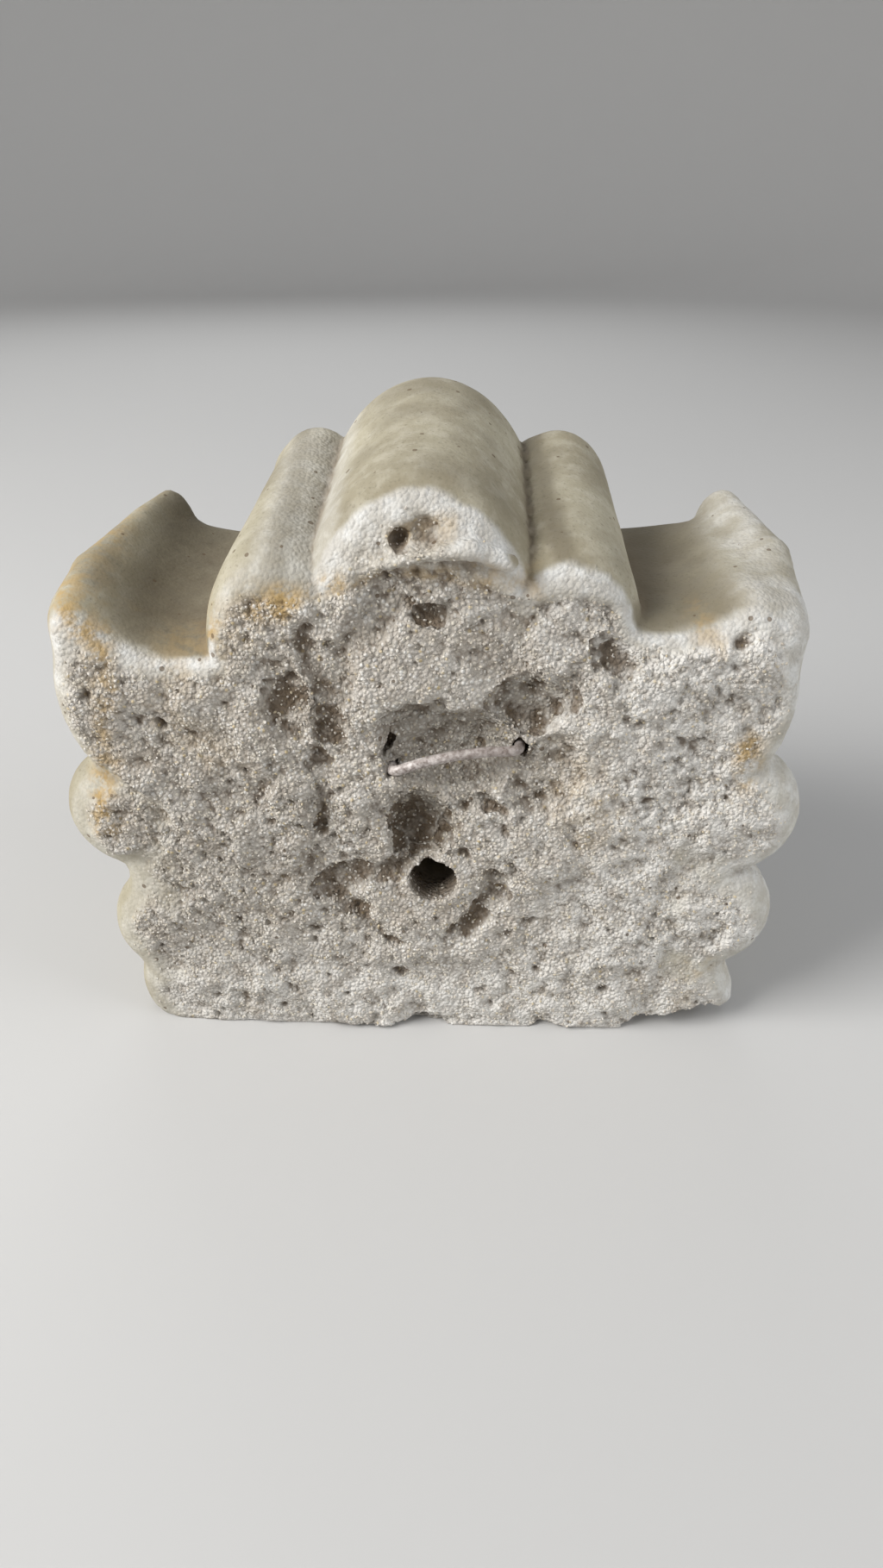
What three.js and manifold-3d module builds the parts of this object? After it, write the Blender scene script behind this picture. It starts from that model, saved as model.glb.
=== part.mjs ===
// A cast-stone gargoyle head that hangs on a garden wall as a water spout, or stands on its flat base.
// The stone is one casting: a domed crown with a roll on either side of it, two hollow-topped ears, a ruff
// of swept-back tufts down each flank, and a snarling face with the spout's bore in its mouth.
// A steel wire, cast into a hollow in the flat back, is the loop that it hangs by.
// Millimetres. +Z is up, the face looks along -Y, and +X is the gargoyle's own left.
// The origin is on the base, under the middle of the stone's outline box.
import * as THREE from "three";
import { mergeVertices } from "three/addons/utils/BufferGeometryUtils.js";
import Module from "manifold-3d";

// Driving dimensions
const HEAD_HEIGHT = 200;
const BORE_DIAMETER = 15;
const WIRE_DIAMETER = 3.2;
const WIRE_SPAN = 39.4;
const WIRE_TILT_DEGREES = 11.7;
const WIRE_ARCH = 2.2;
const WIRE_SINK = 1.5;
const WIRE_BEND_RADIUS = 3;
const WIRE_EMBEDMENT = 8;
const WIRE_CLEARANCE = 0.3;
const HOOK_GAP = 7.3;
const HOOK_HOLLOW_BORDER = 10;

// The surface is faceted on a grid with this many cells in the head's height.
const CELLS_UP = 35;

// The carving is set out in shares, hundredths of the head's height.
const SHARE = HEAD_HEIGHT / 100;
const LEFT = 1;
const RIGHT = -1;
const bothSides = (make) => [make(LEFT), make(RIGHT)];

// A place on the head in shares: to its own left, forward of the back plane, and above the base.
const at = (left, forward, up) => new THREE.Vector3(left, -forward, up).multiplyScalar(SHARE);

// Each form is a function of a place: its distance in millimetres from the form's surface, less than
// nothing inside.

function softMin(a, b, softness) {
  const overlap = Math.max(softness - Math.abs(a - b), 0);
  return Math.min(a, b) - (overlap * overlap) / (4 * softness);
}

const join = (softness, ...forms) => (p) =>
  forms.map((form) => form(p)).reduce((a, b) => softMin(a, b, softness * SHARE));

const carve = (softness, form, ...cutters) => (p) =>
  cutters.reduce((d, cutter) => -softMin(-d, cutter(p), softness * SHARE), form(p));

// An egg with its three half-lengths in millimetres.
function ellipsoid(centre, radii) {
  return (p) => {
    const q = p.clone().sub(centre).divide(radii);
    const slope = q.clone().divide(radii).length();
    return slope > 0 ? (q.length() * (q.length() - 1)) / slope : -Math.min(...radii.toArray());
  };
}

const egg = (centre, left, forward, up) =>
  ellipsoid(centre, new THREE.Vector3(left, forward, up).multiplyScalar(SHARE));

// A round-ended roll between two places, tapering, and taller than it is wide where stretch is over 1.
function roll(from, fromRadius, to, toRadius, stretch = 1) {
  const squeeze = new THREE.Vector3(1, 1, 1 / stretch);
  const start = from.clone().multiply(squeeze);
  const axis = to.clone().multiply(squeeze).sub(start);
  return (p) => {
    const q = p.clone().multiply(squeeze).sub(start);
    const along = THREE.MathUtils.clamp(q.dot(axis) / axis.lengthSq(), 0, 1);
    const radius = THREE.MathUtils.lerp(fromRadius, toRadius, along) * SHARE;
    return q.addScaledVector(axis, -along).length() - radius;
  };
}

// Rolls from stop to stop, each stop a place and the radius there.
const chain = (...stops) =>
  join(0.5, ...stops.slice(1).map(([to, radius], n) => roll(...stops[n], to, radius)));

function block(centre, left, forward, up, rounding) {
  const core = new THREE.Vector3(left - rounding, forward - rounding, up - rounding).multiplyScalar(SHARE);
  return (p) => {
    const q = p.clone().sub(centre);
    const over = new THREE.Vector3(Math.abs(q.x), Math.abs(q.y), Math.abs(q.z)).sub(core);
    const inside = Math.min(Math.max(over.x, over.y, over.z), 0);
    return over.max(new THREE.Vector3()).length() + inside - rounding * SHARE;
  };
}

// The mass behind the face, from the back plane to the front of the ears.
const skull = block(at(0, 13, 33), 43, 30, 39, 10);

// The crown, and the two rolls beside it. The casting isn't the same on both sides.
const crown = roll(at(0.4, -10, 68.3), 18, at(0, 40, 77), 17.6, 1.3);
const forehead = egg(at(0, 42, 66), 22, 19, 17);
const CROWN_ROLLS = {
  [LEFT]: roll(at(21.3, -8, 65.5), 12.8, at(18.5, 41, 82.5), 7.3, 1.3),
  [RIGHT]: roll(at(-20.5, -8, 67), 12, at(-20.5, 41, 81), 8.6, 1.25),
};
const crownRoll = (side) => CROWN_ROLLS[side];

// At the front each roll drops over the forehead and ends as the brow.
const brow = (side) =>
  join(
    1.6,
    chain(
      [at(19 * side, 43, 83), 7.6],
      [at(17.5 * side, 51, 78), 6.6],
      [at(13 * side, 57, 70), 5.4],
      [at(4 * side, 61.5, 62), 4.2],
    ),
    roll(at(12 * side, 57, 69), 5, at(27 * side, 48, 66), 5),
  );

// Each ear is a scoop that lies along the head, with its trough upwards and its tip at the front.
const EARS = {
  [LEFT]: {
    lip: chain([at(50.6, 0, 72), 3], [at(51, 18, 75.5), 3], [at(44.4, 46, 77.6), 3.4]),
    trough: roll(at(36, -8, 84.4), 16.2, at(32, 60, 87.4), 12.4),
  },
  [RIGHT]: {
    lip: chain([at(-51.2, 4, 72), 3.4], [at(-52.4, 24, 76.5), 3.4], [at(-48.6, 45, 77.9), 3.6]),
    trough: roll(at(-34.5, -8, 89.9), 16, at(-33.4, 60, 93), 17.6),
  },
};
const ear = (side) =>
  join(5, roll(at(33.9 * side, 4, 62.4), 21.8, at(36.5 * side, 34, 66), 15.6), EARS[side].lip);
const earTrough = (side) => EARS[side].trough;
const earDish = (side) => egg(at(40 * side, 58, 66), 9, 13, 9);

// The ruff's tufts: the place and radius of the round end near the back, and of the flank further forward.
const RUFF = {
  [LEFT]: [
    { end: [46.2, 41], endRadius: 10.8, flank: [35, 43], flankRadius: 10 },
    { end: [42, 18.5], endRadius: 10.8, flank: [33, 24], flankRadius: 9.8 },
    { end: [39, 5.5], endRadius: 11, flank: [29.5, 8], flankRadius: 9.4 },
  ],
  [RIGHT]: [
    { end: [47.3, 42], endRadius: 11.5, flank: [35, 43], flankRadius: 10 },
    { end: [46, 22.5], endRadius: 11.2, flank: [33, 25], flankRadius: 9.8 },
    { end: [41.8, 4.5], endRadius: 11.5, flank: [29, 8], flankRadius: 9.4 },
  ],
};
const tuft = (side, { end, endRadius, flank, flankRadius }) =>
  chain(
    [at(end[0] * side, 6, end[1]), endRadius],
    [at(flank[0] * side, 32, flank[1]), flankRadius],
    [at((flank[0] - 9) * side, 49, flank[1] + 2), 4.5],
  );
const ruff = (side) => join(1.5, ...RUFF[side].map((one) => tuft(side, one)));

// Behind the tufts the casting is solid nearly to their ends, so the back has only shallow notches.
const backRim = block(at(-0.8, 5, 31), 50, 7, 26, 6.5);

const face = egg(at(0, 33, 40), 31, 27, 40);
const cheekbone = (side) => egg(at(19 * side, 50, 46), 11, 9, 8.5);
const eyeSocket = (side) => egg(at(13 * side, 64, 56.5), 8, 8, 6.2);
const eyeball = (side) => egg(at(13 * side, 54, 56.5), 6, 5.6, 5.4);
const noseWing = (side) => egg(at(6.4 * side, 63, 49), 5, 5.6, 4.8);
const nose = join(2, roll(at(0, 59, 62), 4.6, at(0, 66, 50.5), 6), ...bothSides(noseWing));
const muzzle = (side) => egg(at(9.5 * side, 57, 40), 11.5, 9.5, 7.5);
const jaw = egg(at(0, 48, 15), 21, 14, 16);
const chin = egg(at(0, 58, 9), 9, 7, 9);
const lowerLip = chain(
  [at(-17, 52, 27), 3],
  [at(-9.5, 60, 20.5), 3.6],
  [at(9.5, 60, 20.5), 3.6],
  [at(17, 52, 27), 3],
);
const mouth = egg(at(0, 62, 28.8), 15.5, 18, 7.6);
const tongue = egg(at(0, 54, 22.4), 8, 12, 4);
const fang = (side) => roll(at(10 * side, 60, 36), 3.6, at(9.6 * side, 61, 27), 2.6);
const bore = { place: at(-1.5, 0, 30.5), depth: 58 * SHARE };

// The hollow round the hanging wire, which leaves room behind it for a hook.
const hookPlace = at(-4.7, 0, 52.6);
const hookDepth = WIRE_SINK + WIRE_DIAMETER + HOOK_GAP;
const hookHollow = ellipsoid(
  hookPlace.clone().setY(0.5 * hookDepth),
  new THREE.Vector3(WIRE_SPAN / 2 + HOOK_HOLLOW_BORDER, 1.5 * hookDepth, 1.75 * hookDepth),
);

// The back's edge is worn round: the form is closed softly, a little way past the back plane.
const BACK_ALLOWANCE = 0.8 * SHARE;
const EDGE_WEAR = 8;
const pastBack = (p) => BACK_ALLOWANCE - p.y;

const mass = join(3, skull, face, forehead, jaw, chin, ...[ear, cheekbone, muzzle].flatMap(bothSides));
const flanked = join(2, mass, backRim, ...bothSides(ruff));
const hollowed = carve(2, flanked, ...[earTrough, earDish].flatMap(bothSides));
const crowned = join(1.6, hollowed, crown, ...[crownRoll, brow].flatMap(bothSides));
const mouthed = carve(1.5, join(2, crowned, nose, lowerLip), mouth, ...bothSides(eyeSocket));
const featured = join(1.2, mouthed, tongue, ...[eyeball, fang].flatMap(bothSides));
const head = carve(1, carve(EDGE_WEAR, featured, pastBack), hookHollow);

// A grid cell's eight corners, and its twelve edges and six faces by corner number.
const CORNERS = Array.from({ length: 8 }, (_, n) => [n & 1, (n >> 1) & 1, (n >> 2) & 1]);
const CELL_EDGES = [0, 1, 2].flatMap((axis) =>
  CORNERS.flatMap((corner, n) => (corner[axis] ? [] : [[n, n + (1 << axis)]])),
);
const CELL_FACES = [0, 1, 2].flatMap((axis) =>
  [0, 1].map((side) => CORNERS.flatMap((corner, n) => (corner[axis] === side ? [n] : []))),
);

// The cut edges of one cell, in a list for each sheet of the surface that passes through it.
function sheetsOf(value) {
  const inside = value.map((v) => v < 0);
  const cut = CELL_EDGES.flatMap(([a, b], edge) => (inside[a] === inside[b] ? [] : [edge]));
  const sheet = new Map(cut.map((edge) => [edge, edge]));
  for (const face of CELL_FACES) {
    const onFace = cut.filter((edge) => CELL_EDGES[edge].every((corner) => face.includes(corner)));
    const insideCorners = face.filter((corner) => inside[corner]);
    const pairs =
      onFace.length === 4
        ? insideCorners.map((corner) => onFace.filter((edge) => CELL_EDGES[edge].includes(corner)))
        : [onFace];
    for (const [a, b] of pairs) {
      const [kept, dropped] = [sheet.get(a), sheet.get(b)];
      for (const edge of cut) if (sheet.get(edge) === dropped) sheet.set(edge, kept);
    }
  }
  return [...new Set(sheet.values())].map((label) => cut.filter((edge) => sheet.get(edge) === label));
}

// A closed mesh of the surface where a form's distance is nothing: a vertex for each sheet of it in each
// grid cell, and a quad round each grid edge that it cuts.
function surfaceOf(form, xs, ys, zs) {
  const size = [xs.length, ys.length, zs.length];
  const stride = [1, size[0], size[0] * size[1]];
  const axes = [xs, ys, zs];
  const index = (i, j, k) => i + j * stride[1] + k * stride[2];
  const values = zs.flatMap((z) => ys.flatMap((y) => xs.map((x) => form(new THREE.Vector3(x, y, z)))));

  const crossing = (cell, value, edge) => {
    const [a, b] = CELL_EDGES[edge];
    const share = value[a] / (value[a] - value[b]);
    const coordinates = axes.map((stations, axis) =>
      THREE.MathUtils.lerp(
        stations[cell[axis] + CORNERS[a][axis]],
        stations[cell[axis] + CORNERS[b][axis]],
        share,
      ),
    );
    return new THREE.Vector3(...coordinates);
  };

  const vertices = [];
  const vertexAt = new Map();
  for (let k = 0; k < size[2] - 1; k++)
    for (let j = 0; j < size[1] - 1; j++)
      for (let i = 0; i < size[0] - 1; i++) {
        const value = CORNERS.map((c) => values[index(i + c[0], j + c[1], k + c[2])]);
        if (value.every((v) => v < 0) || value.every((v) => v >= 0)) continue;
        for (const sheet of sheetsOf(value)) {
          const middle = new THREE.Vector3();
          for (const edge of sheet) {
            middle.addScaledVector(crossing([i, j, k], value, edge), 1 / sheet.length);
            vertexAt.set(index(i, j, k) * CELL_EDGES.length + edge, vertices.length);
          }
          vertices.push(middle);
        }
      }

  const apart = (a, b) => vertices[a].distanceTo(vertices[b]);
  const triangles = [];
  for (let k = 1; k < size[2] - 1; k++)
    for (let j = 1; j < size[1] - 1; j++)
      for (let i = 1; i < size[0] - 1; i++)
        for (let axis = 0; axis < 3; axis++) {
          const here = index(i, j, k);
          const inside = values[here] < 0;
          if (inside === values[here + stride[axis]] < 0) continue;
          const [u, v] = [(axis + 1) % 3, (axis + 2) % 3];
          const ring = [[0, 0], [1, 0], [1, 1], [0, 1]].map(([backU, backV]) => {
            const corner = (backU << u) + (backV << v);
            const edge = CELL_EDGES.findIndex(([a, b]) => a === corner && b === corner + (1 << axis));
            const cell = here - backU * stride[u] - backV * stride[v];
            return vertexAt.get(cell * CELL_EDGES.length + edge);
          });
          const [a, b, c, d] = inside ? ring : ring.reverse();
          triangles.push(...(apart(a, c) < apart(b, d) ? [a, b, c, a, c, d] : [a, b, d, b, c, d]));
        }
  const geometry = new THREE.BufferGeometry().setFromPoints(vertices);
  geometry.setIndex(triangles);
  return geometry;
}

// Values from one place to another, evenly spaced and no further apart than a step.
function stations(from, to, step) {
  const count = Math.ceil((to - from) / step);
  return Array.from({ length: count + 1 }, (_, n) => from + ((to - from) * n) / count);
}

const wasm = await Module();
wasm.setup();

function solidOf(geometry) {
  const bare = geometry.clone();
  bare.deleteAttribute("normal");
  bare.deleteAttribute("uv");
  const merged = mergeVertices(bare, 1e-3);
  const vertProperties = new Float32Array(merged.attributes.position.array);
  const triVerts = new Uint32Array(merged.index.array);
  return new wasm.Manifold(new wasm.Mesh({ numProp: 3, vertProperties, triVerts }));
}

function geometryOf(solid) {
  const { vertProperties, triVerts } = solid.getMesh();
  const geometry = new THREE.BufferGeometry();
  geometry.setAttribute("position", new THREE.BufferAttribute(vertProperties, 3));
  geometry.setIndex(new THREE.BufferAttribute(triVerts, 1));
  const faceted = geometry.toNonIndexed();
  faceted.computeVertexNormals();
  return faceted;
}

// The head on a grid with deeper cells behind the face, where the forms run straight back. It reaches
// past the back and the base, which are then cut flat, and a pocket closed off inside it is filled.
const CELL = HEAD_HEIGHT / CELLS_UP;
const MARGIN = 2 * CELL;
const REACH = { side: 58 * SHARE, front: 73 * SHARE, face: 44 * SHARE, top: 101 * SHARE };
const widths = stations(-REACH.side - MARGIN, REACH.side + MARGIN, CELL);
const depths = [
  ...stations(-REACH.front - MARGIN, -REACH.face, CELL),
  ...stations(-REACH.face, MARGIN, 2 * CELL).slice(1),
];
const heights = stations(-MARGIN, REACH.top + MARGIN, CELL);
const footed = (p) => Math.max(head(p), -MARGIN / 2 - p.z);
const rough = solidOf(surfaceOf(footed, widths, depths, heights))
  .decompose()
  .reduce((a, b) => (a.volume() > b.volume() ? a : b));

const LARGE = 4 * HEAD_HEIGHT;
const slab = (y, z) => solidOf(new THREE.BoxGeometry(LARGE, LARGE, LARGE).translate(0, y, z));
const blank = rough.subtract(slab(LARGE / 2, 0)).subtract(slab(0, -LARGE / 2));

// A straight round hole into the back, from clear of the stone to a depth behind the back plane.
function drilling(place, diameter, depth, sides) {
  const length = depth + MARGIN;
  const drill = new THREE.CylinderGeometry(diameter / 2, diameter / 2, length, sides);
  return solidOf(drill.translate(place.x, MARGIN - length / 2, place.z));
}

// The wire's centre line: out of the stone, round a bend, across the hollow in a low arch, and back in.
const wireDepth = WIRE_SINK + WIRE_DIAMETER / 2;
const wireEndDepth = hookDepth + WIRE_EMBEDMENT;
const tilt = THREE.MathUtils.degToRad(WIRE_TILT_DEGREES);
const across = new THREE.Vector3(Math.cos(tilt), 0, -Math.sin(tilt));
const legPlaces = [-1, 1].map((end) => hookPlace.clone().addScaledVector(across, (end * WIRE_SPAN) / 2));

function wireCentreLine() {
  const [first, last] = legPlaces;
  const bend = across.clone().multiplyScalar(WIRE_BEND_RADIUS);
  const bendEnds = [first.clone().add(bend), last.clone().sub(bend)].map((p) => p.setY(-wireDepth));
  const corners = legPlaces.map((p) => p.clone().setY(-wireDepth));
  const bendStarts = legPlaces.map((p) => p.clone().setY(-wireDepth - WIRE_BEND_RADIUS));
  const ends = legPlaces.map((p) => p.clone().setY(-wireEndDepth));
  const arch = hookPlace.clone().add(new THREE.Vector3(0, -wireDepth, 2 * WIRE_ARCH));
  const path = new THREE.CurvePath();
  path.add(new THREE.LineCurve3(ends[0], bendStarts[0]));
  path.add(new THREE.QuadraticBezierCurve3(bendStarts[0], corners[0], bendEnds[0]));
  path.add(new THREE.QuadraticBezierCurve3(bendEnds[0], arch, bendEnds[1]));
  path.add(new THREE.QuadraticBezierCurve3(bendEnds[1], corners[1], bendStarts[1]));
  path.add(new THREE.LineCurve3(bendStarts[1], ends[1]));
  return path;
}

const wireSection = new THREE.Shape().absarc(0, 0, WIRE_DIAMETER / 2, 0, 2 * Math.PI);
const wireGeometry = new THREE.ExtrudeGeometry(wireSection, {
  extrudePath: wireCentreLine(),
  steps: 36,
  curveSegments: 4,
});

const socketDiameter = WIRE_DIAMETER + 2 * WIRE_CLEARANCE;
const sockets = legPlaces.map((place) =>
  drilling(place, socketDiameter, wireEndDepth + WIRE_CLEARANCE, 12),
);
const cuts = [drilling(bore.place, BORE_DIAMETER, bore.depth, 24), ...sockets];
const headGeometry = geometryOf(cuts.reduce((solid, cut) => solid.subtract(cut), blank));
headGeometry.computeBoundingBox();
const originOffset = headGeometry.boundingBox.getCenter(new THREE.Vector3()).setZ(0).negate();

const castStone = new THREE.MeshStandardMaterial({ color: 0xc6bda6, roughness: 0.95, metalness: 0 });
const rustedSteel = new THREE.MeshStandardMaterial({ color: 0x6f5a50, roughness: 0.8, metalness: 0.4 });

const gargoyle = new THREE.Group();
for (const [name, geometry, material] of [
  ["gargoyle_head", headGeometry, castStone],
  ["hanging_wire", wireGeometry, rustedSteel],
]) {
  const mesh = new THREE.Mesh(geometry, material);
  mesh.name = name;
  mesh.position.copy(originOffset);
  gargoyle.add(mesh);
}

export default gargoyle;
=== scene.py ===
# Looks of a cast-stone gargoyle head with a wire loop in its rough back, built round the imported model.
import math

import bmesh
import bpy
import numpy as np
from bpy.props import FloatProperty, FloatVectorProperty, IntProperty, PointerProperty
from mathutils import Matrix, Vector


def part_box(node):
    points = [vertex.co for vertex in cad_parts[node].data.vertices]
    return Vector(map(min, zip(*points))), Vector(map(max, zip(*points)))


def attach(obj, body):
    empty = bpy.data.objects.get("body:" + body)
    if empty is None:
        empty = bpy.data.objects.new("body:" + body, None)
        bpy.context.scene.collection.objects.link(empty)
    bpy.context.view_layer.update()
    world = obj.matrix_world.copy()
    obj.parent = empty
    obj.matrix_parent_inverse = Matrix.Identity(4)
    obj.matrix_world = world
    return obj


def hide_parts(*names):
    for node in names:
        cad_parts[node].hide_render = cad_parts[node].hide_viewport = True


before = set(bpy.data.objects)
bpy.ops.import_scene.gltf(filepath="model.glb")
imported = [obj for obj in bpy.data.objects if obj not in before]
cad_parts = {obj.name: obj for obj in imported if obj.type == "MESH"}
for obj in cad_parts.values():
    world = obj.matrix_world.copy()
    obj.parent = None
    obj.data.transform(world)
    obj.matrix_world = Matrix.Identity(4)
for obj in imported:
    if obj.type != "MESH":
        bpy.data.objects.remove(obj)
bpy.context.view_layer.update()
_, HEAD_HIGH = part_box("gargoyle_head")

bl_info = {
    "name": "Stone Gargoyle Head",
    "version": (1, 0, 0),
    "blender": (4, 5, 0),
    "location": "3D View > Sidebar > Gargoyle",
    "description": "Carves a weathered cast-stone gargoyle head with its hanging wire, and lights it",
    "category": "Object",
}


def linear(code):
    """The linear colour of an sRGB hex value."""
    parts = [int(code[n:n + 2], 16) / 255 for n in (0, 2, 4)]
    return tuple(c / 12.92 if c <= 0.04045 else ((c + 0.055) / 1.055) ** 2.4 for c in parts)


def colour(name, description, code):
    """A colour property with an sRGB hex value as its default."""
    return FloatVectorProperty(
        name=name, description=description, default=linear(code), min=0, max=1, size=3, subtype="COLOR"
    )


def length(name, description, default):
    """A length property in metres."""
    return FloatProperty(
        name=name, description=description, default=default, min=0, unit="LENGTH", precision=4
    )


def strength(name, description, default):
    """The strength of a light."""
    return FloatProperty(name=name, description=description, default=default, min=0)


class HeadSettings(bpy.types.PropertyGroup):
    """Sizes and colours of the stone head."""

    height: length("Height", "Height that the carving is set out in", 0.2)
    cell: length("Cell", "Pitch of the grid that the surface is made on", 0.0022)
    bore: length("Bore", "Diameter of the spout's bore", 0.015)
    socket: length("Socket", "Diameter of the holes that the wire's legs stand in", 0.0038)
    hook_depth: length("Hook hollow", "Depth of the hollow behind the wire", 0.012)
    crumbs: length("Crumbs", "Height of the crumbs on the broken back", 0.0009)
    pinholes: length("Pinholes", "Spacing of the air holes in the moulded skin", 0.0052)
    skin: colour("Moulded skin", "Weathered skin of the casting", "aba48f")
    skin_shade: colour("Skin shade", "Darker clouds in the moulded skin", "948c77")
    # The worn rim colour also serves as painted light where the left roll meets the crown
    worn: colour("Worn rim", "Rims that are scoured down to clean stone", "d5d4d0")
    matrix: colour("Broken stone", "Cement between the sand grains", "b3aca2")
    ochre: colour("Ochre stain", "Stain of lichen and iron", "ae915d")
    # The grime colour is dirt, and painted shade in pits, creases, air holes and the bore's mouth
    grime: colour("Grime", "Dirt in pits and hollows", "64533f")
    # The damp colour is dirt, and also painted shade in the right ear's trough and the back's hollows
    damp: colour("Damp dirt", "Dirt that rain leaves in the troughs", "5f5644")


class SandSettings(bpy.types.PropertyGroup):
    """The loose-looking sand grains that stand proud of the broken back."""

    size: length("Grain", "Mean diameter of a grain", 0.0011)
    density: FloatProperty(
        name="Density", description="Grains on a square metre of broken stone", default=210000, min=0
    )
    seed: IntProperty(name="Seed", description="Number that the scatter starts from", default=7)


class WireSettings(bpy.types.PropertyGroup):
    """Sizes and colours of the hanging wire."""

    diameter: length("Diameter", "Diameter of the wire", 0.0032)
    span: length("Span", "Distance between the wire's two legs", 0.0394)
    tilt: FloatProperty(
        name="Tilt", description="Slope of the wire across the back",
        default=math.radians(11.7), subtype="ANGLE",
    )
    arch: length("Arch", "Rise of the wire in its middle", 0.0022)
    sink: length("Sink", "Depth of the wire below the back", 0.0015)
    bend: length("Bend", "Radius of the wire's two bends", 0.003)
    legs: length("Legs", "Depth of the ends of the legs below the back", 0.02)
    rust: colour("Rust", "Dark closed rust", "6a5c54")
    bare: colour("Rubbed rust", "Rust that is rubbed down and dusty", "cfc7c2")


class StageSettings(bpy.types.PropertyGroup):
    """The floor, the lights and the camera."""

    floor: colour("Floor", "Matt painted floor and backdrop", "c4c3c1")
    key: strength("Window", "Power of the soft key light", 38)
    fill: strength("Fill", "Power of the light from the other side", 11)
    face: strength("Face light", "Power of the light on the face", 5)
    sky: strength("Sky", "Strength of the light from all round", 0.3)
    focal: FloatProperty(name="Focal length", description="Camera lens in millimetres", default=24.96)


# The carving is set out in shares, hundredths of the head's height. Places and distances below are in
# shares, with the origin on the base under the middle of the back.
LEFT = 1
RIGHT = -1
# Shares in one millimetre, at the cast height of 200 mm
MM = 0.5
# The carving's own middle stands this far to the left of the middle of the head's box, in metres
MIDDLE = 0.00204


def at(left, forward, up):
    """A place on the head: to its own left, forward of the back, and above the base."""
    return np.array((left, -forward, up), np.float32)


def both_sides(make):
    """A form made for the left and one for the right."""
    return [make(LEFT), make(RIGHT)]


# A form is a function of many places: their distances from its surface, less than nothing inside.


def soft_min(a, b, softness):
    overlap = np.maximum(softness - np.abs(a - b), 0)
    return np.minimum(a, b) - overlap * overlap / (4 * softness)


def join(softness, *forms):
    """The forms as one, with the creases between them filled."""

    def distance(p):
        d = forms[0](p)
        for form in forms[1:]:
            d = soft_min(d, form(p), softness)
        return d

    return distance


def carve(softness, form, *cutters):
    """The form with the cutters taken out of it, and its new edges rounded."""

    def distance(p):
        d = form(p)
        for cutter in cutters:
            d = -soft_min(-d, cutter(p), softness)
        return d

    return distance


def egg(centre, left, forward, up):
    """An egg with its three half-lengths."""
    radii = np.array((left, forward, up), np.float32)

    def distance(p):
        q = (p - centre) / radii
        size = np.sqrt(np.einsum("ij,ij->i", q, q))
        q /= radii
        slope = np.sqrt(np.einsum("ij,ij->i", q, q))
        return np.where(slope > 1e-4, size * (size - 1) / np.maximum(slope, 1e-4), -radii.min())

    return distance


def roll(start, start_radius, end, end_radius, stretch=1):
    """A tapering roll between two places. It is taller than it is wide where stretch is over 1."""
    squeeze = np.array((1, 1, 1 / stretch), np.float32)
    root = start * squeeze
    axis = end * squeeze - root
    reach = float(axis @ axis)

    def distance(p):
        q = p * squeeze - root
        along = np.clip(q @ axis / reach, 0, 1)
        q -= along[:, None] * axis
        radius = start_radius + (end_radius - start_radius) * along
        return np.sqrt(np.einsum("ij,ij->i", q, q)) - radius

    return distance


def chain(*stops, softness=0.5):
    """Rolls from stop to stop, each stop a place and the radius there."""
    return join(softness, *[roll(*stops[n], *stops[n + 1]) for n in range(len(stops) - 1)])


def strip(side, *stops):
    """A chain on one side of the head, each stop its left, forward and up, and the radius there."""
    return chain(*[(at(left * side, forward, up), radius) for left, forward, up, radius in stops])


def pair(left, forward, up, *halves):
    """Two eggs alike, one on each side of the head."""
    return both_sides(lambda side: egg(at(left * side, forward, up), *halves))


def block(centre, left, forward, up, rounding):
    """A box with its three half-lengths and its rounded edges."""
    core = np.array((left, forward, up), np.float32) - rounding

    def distance(p):
        over = np.abs(p - centre) - core
        inside = np.minimum(over.max(1), 0)
        over = np.maximum(over, 0)
        return np.sqrt(np.einsum("ij,ij->i", over, over)) + inside - rounding

    return distance


def beyond(normal, reach):
    """All that lies past a flat cut: normal is the way it faces, and reach how far out it stands."""
    facing = np.array(normal, np.float32) / math.hypot(*normal)
    return lambda p: reach - p @ facing


def hole(left, up, radius, depth):
    """A round hole straight into the back."""
    return lambda p: np.maximum(np.hypot(p[:, 0] - left, p[:, 2] - up) - radius, -p[:, 1] - depth)


# The head's masses, as in the CAD

CROWN = roll(at(0.4, -10, 68.3), 18, at(0, 40, 77), 17.6, 1.3)
CROWN_ROLLS = {
    LEFT: roll(at(21.3, -8, 65.5), 12.8, at(18.5, 41, 82.5), 7.3, 1.3),
    RIGHT: roll(at(-20.5, -8, 67), 12, at(-20.5, 41, 81), 8.6, 1.25),
}
# Each ear: its rolled lip, and the roll that hollows its top
EARS = {
    LEFT: (
        strip(LEFT, (50.6, 0, 72, 3), (51, 18, 75.5, 3), (44.4, 46, 77.6, 3.4)),
        roll(at(36, -8, 84.4), 16.2, at(32, 60, 87.4), 12.4),
    ),
    RIGHT: (
        strip(RIGHT, (51.2, 4, 72, 3.4), (52.4, 24, 76.5, 3.4), (48.6, 45, 77.9, 3.6)),
        roll(at(-34.5, -8, 89.9), 16, at(-33.4, 60, 93), 17.6),
    ),
}
# Each tuft of the ruff: its round end near the back as left, up and radius, then its flank likewise
RUFF = {
    LEFT: (
        ((46.2, 41, 10.8), (35, 43, 10)),
        ((42, 18.5, 10.8), (33, 24, 9.8)),
        ((39, 5.5, 11), (29.5, 8, 9.4)),
    ),
    RIGHT: (
        ((47.3, 42, 11.5), (35, 43, 10)),
        ((46, 22.5, 11.2), (33, 25, 9.8)),
        ((41.8, 4.5, 11.5), (29, 8, 9.4)),
    ),
}


def brow(side):
    return join(
        1.2,
        strip(side, (19, 43, 83, 7.6), (17.5, 51, 78, 6.6), (13, 57, 70, 5.4), (4, 61.5, 62, 4.2)),
        strip(side, (12, 57, 69, 5), (27, 48, 66, 5)),
    )


def ear(side):
    return join(5, strip(side, (33.9, 4, 62.4, 21.8), (36.5, 34, 66, 15.6)), EARS[side][0])


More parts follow.
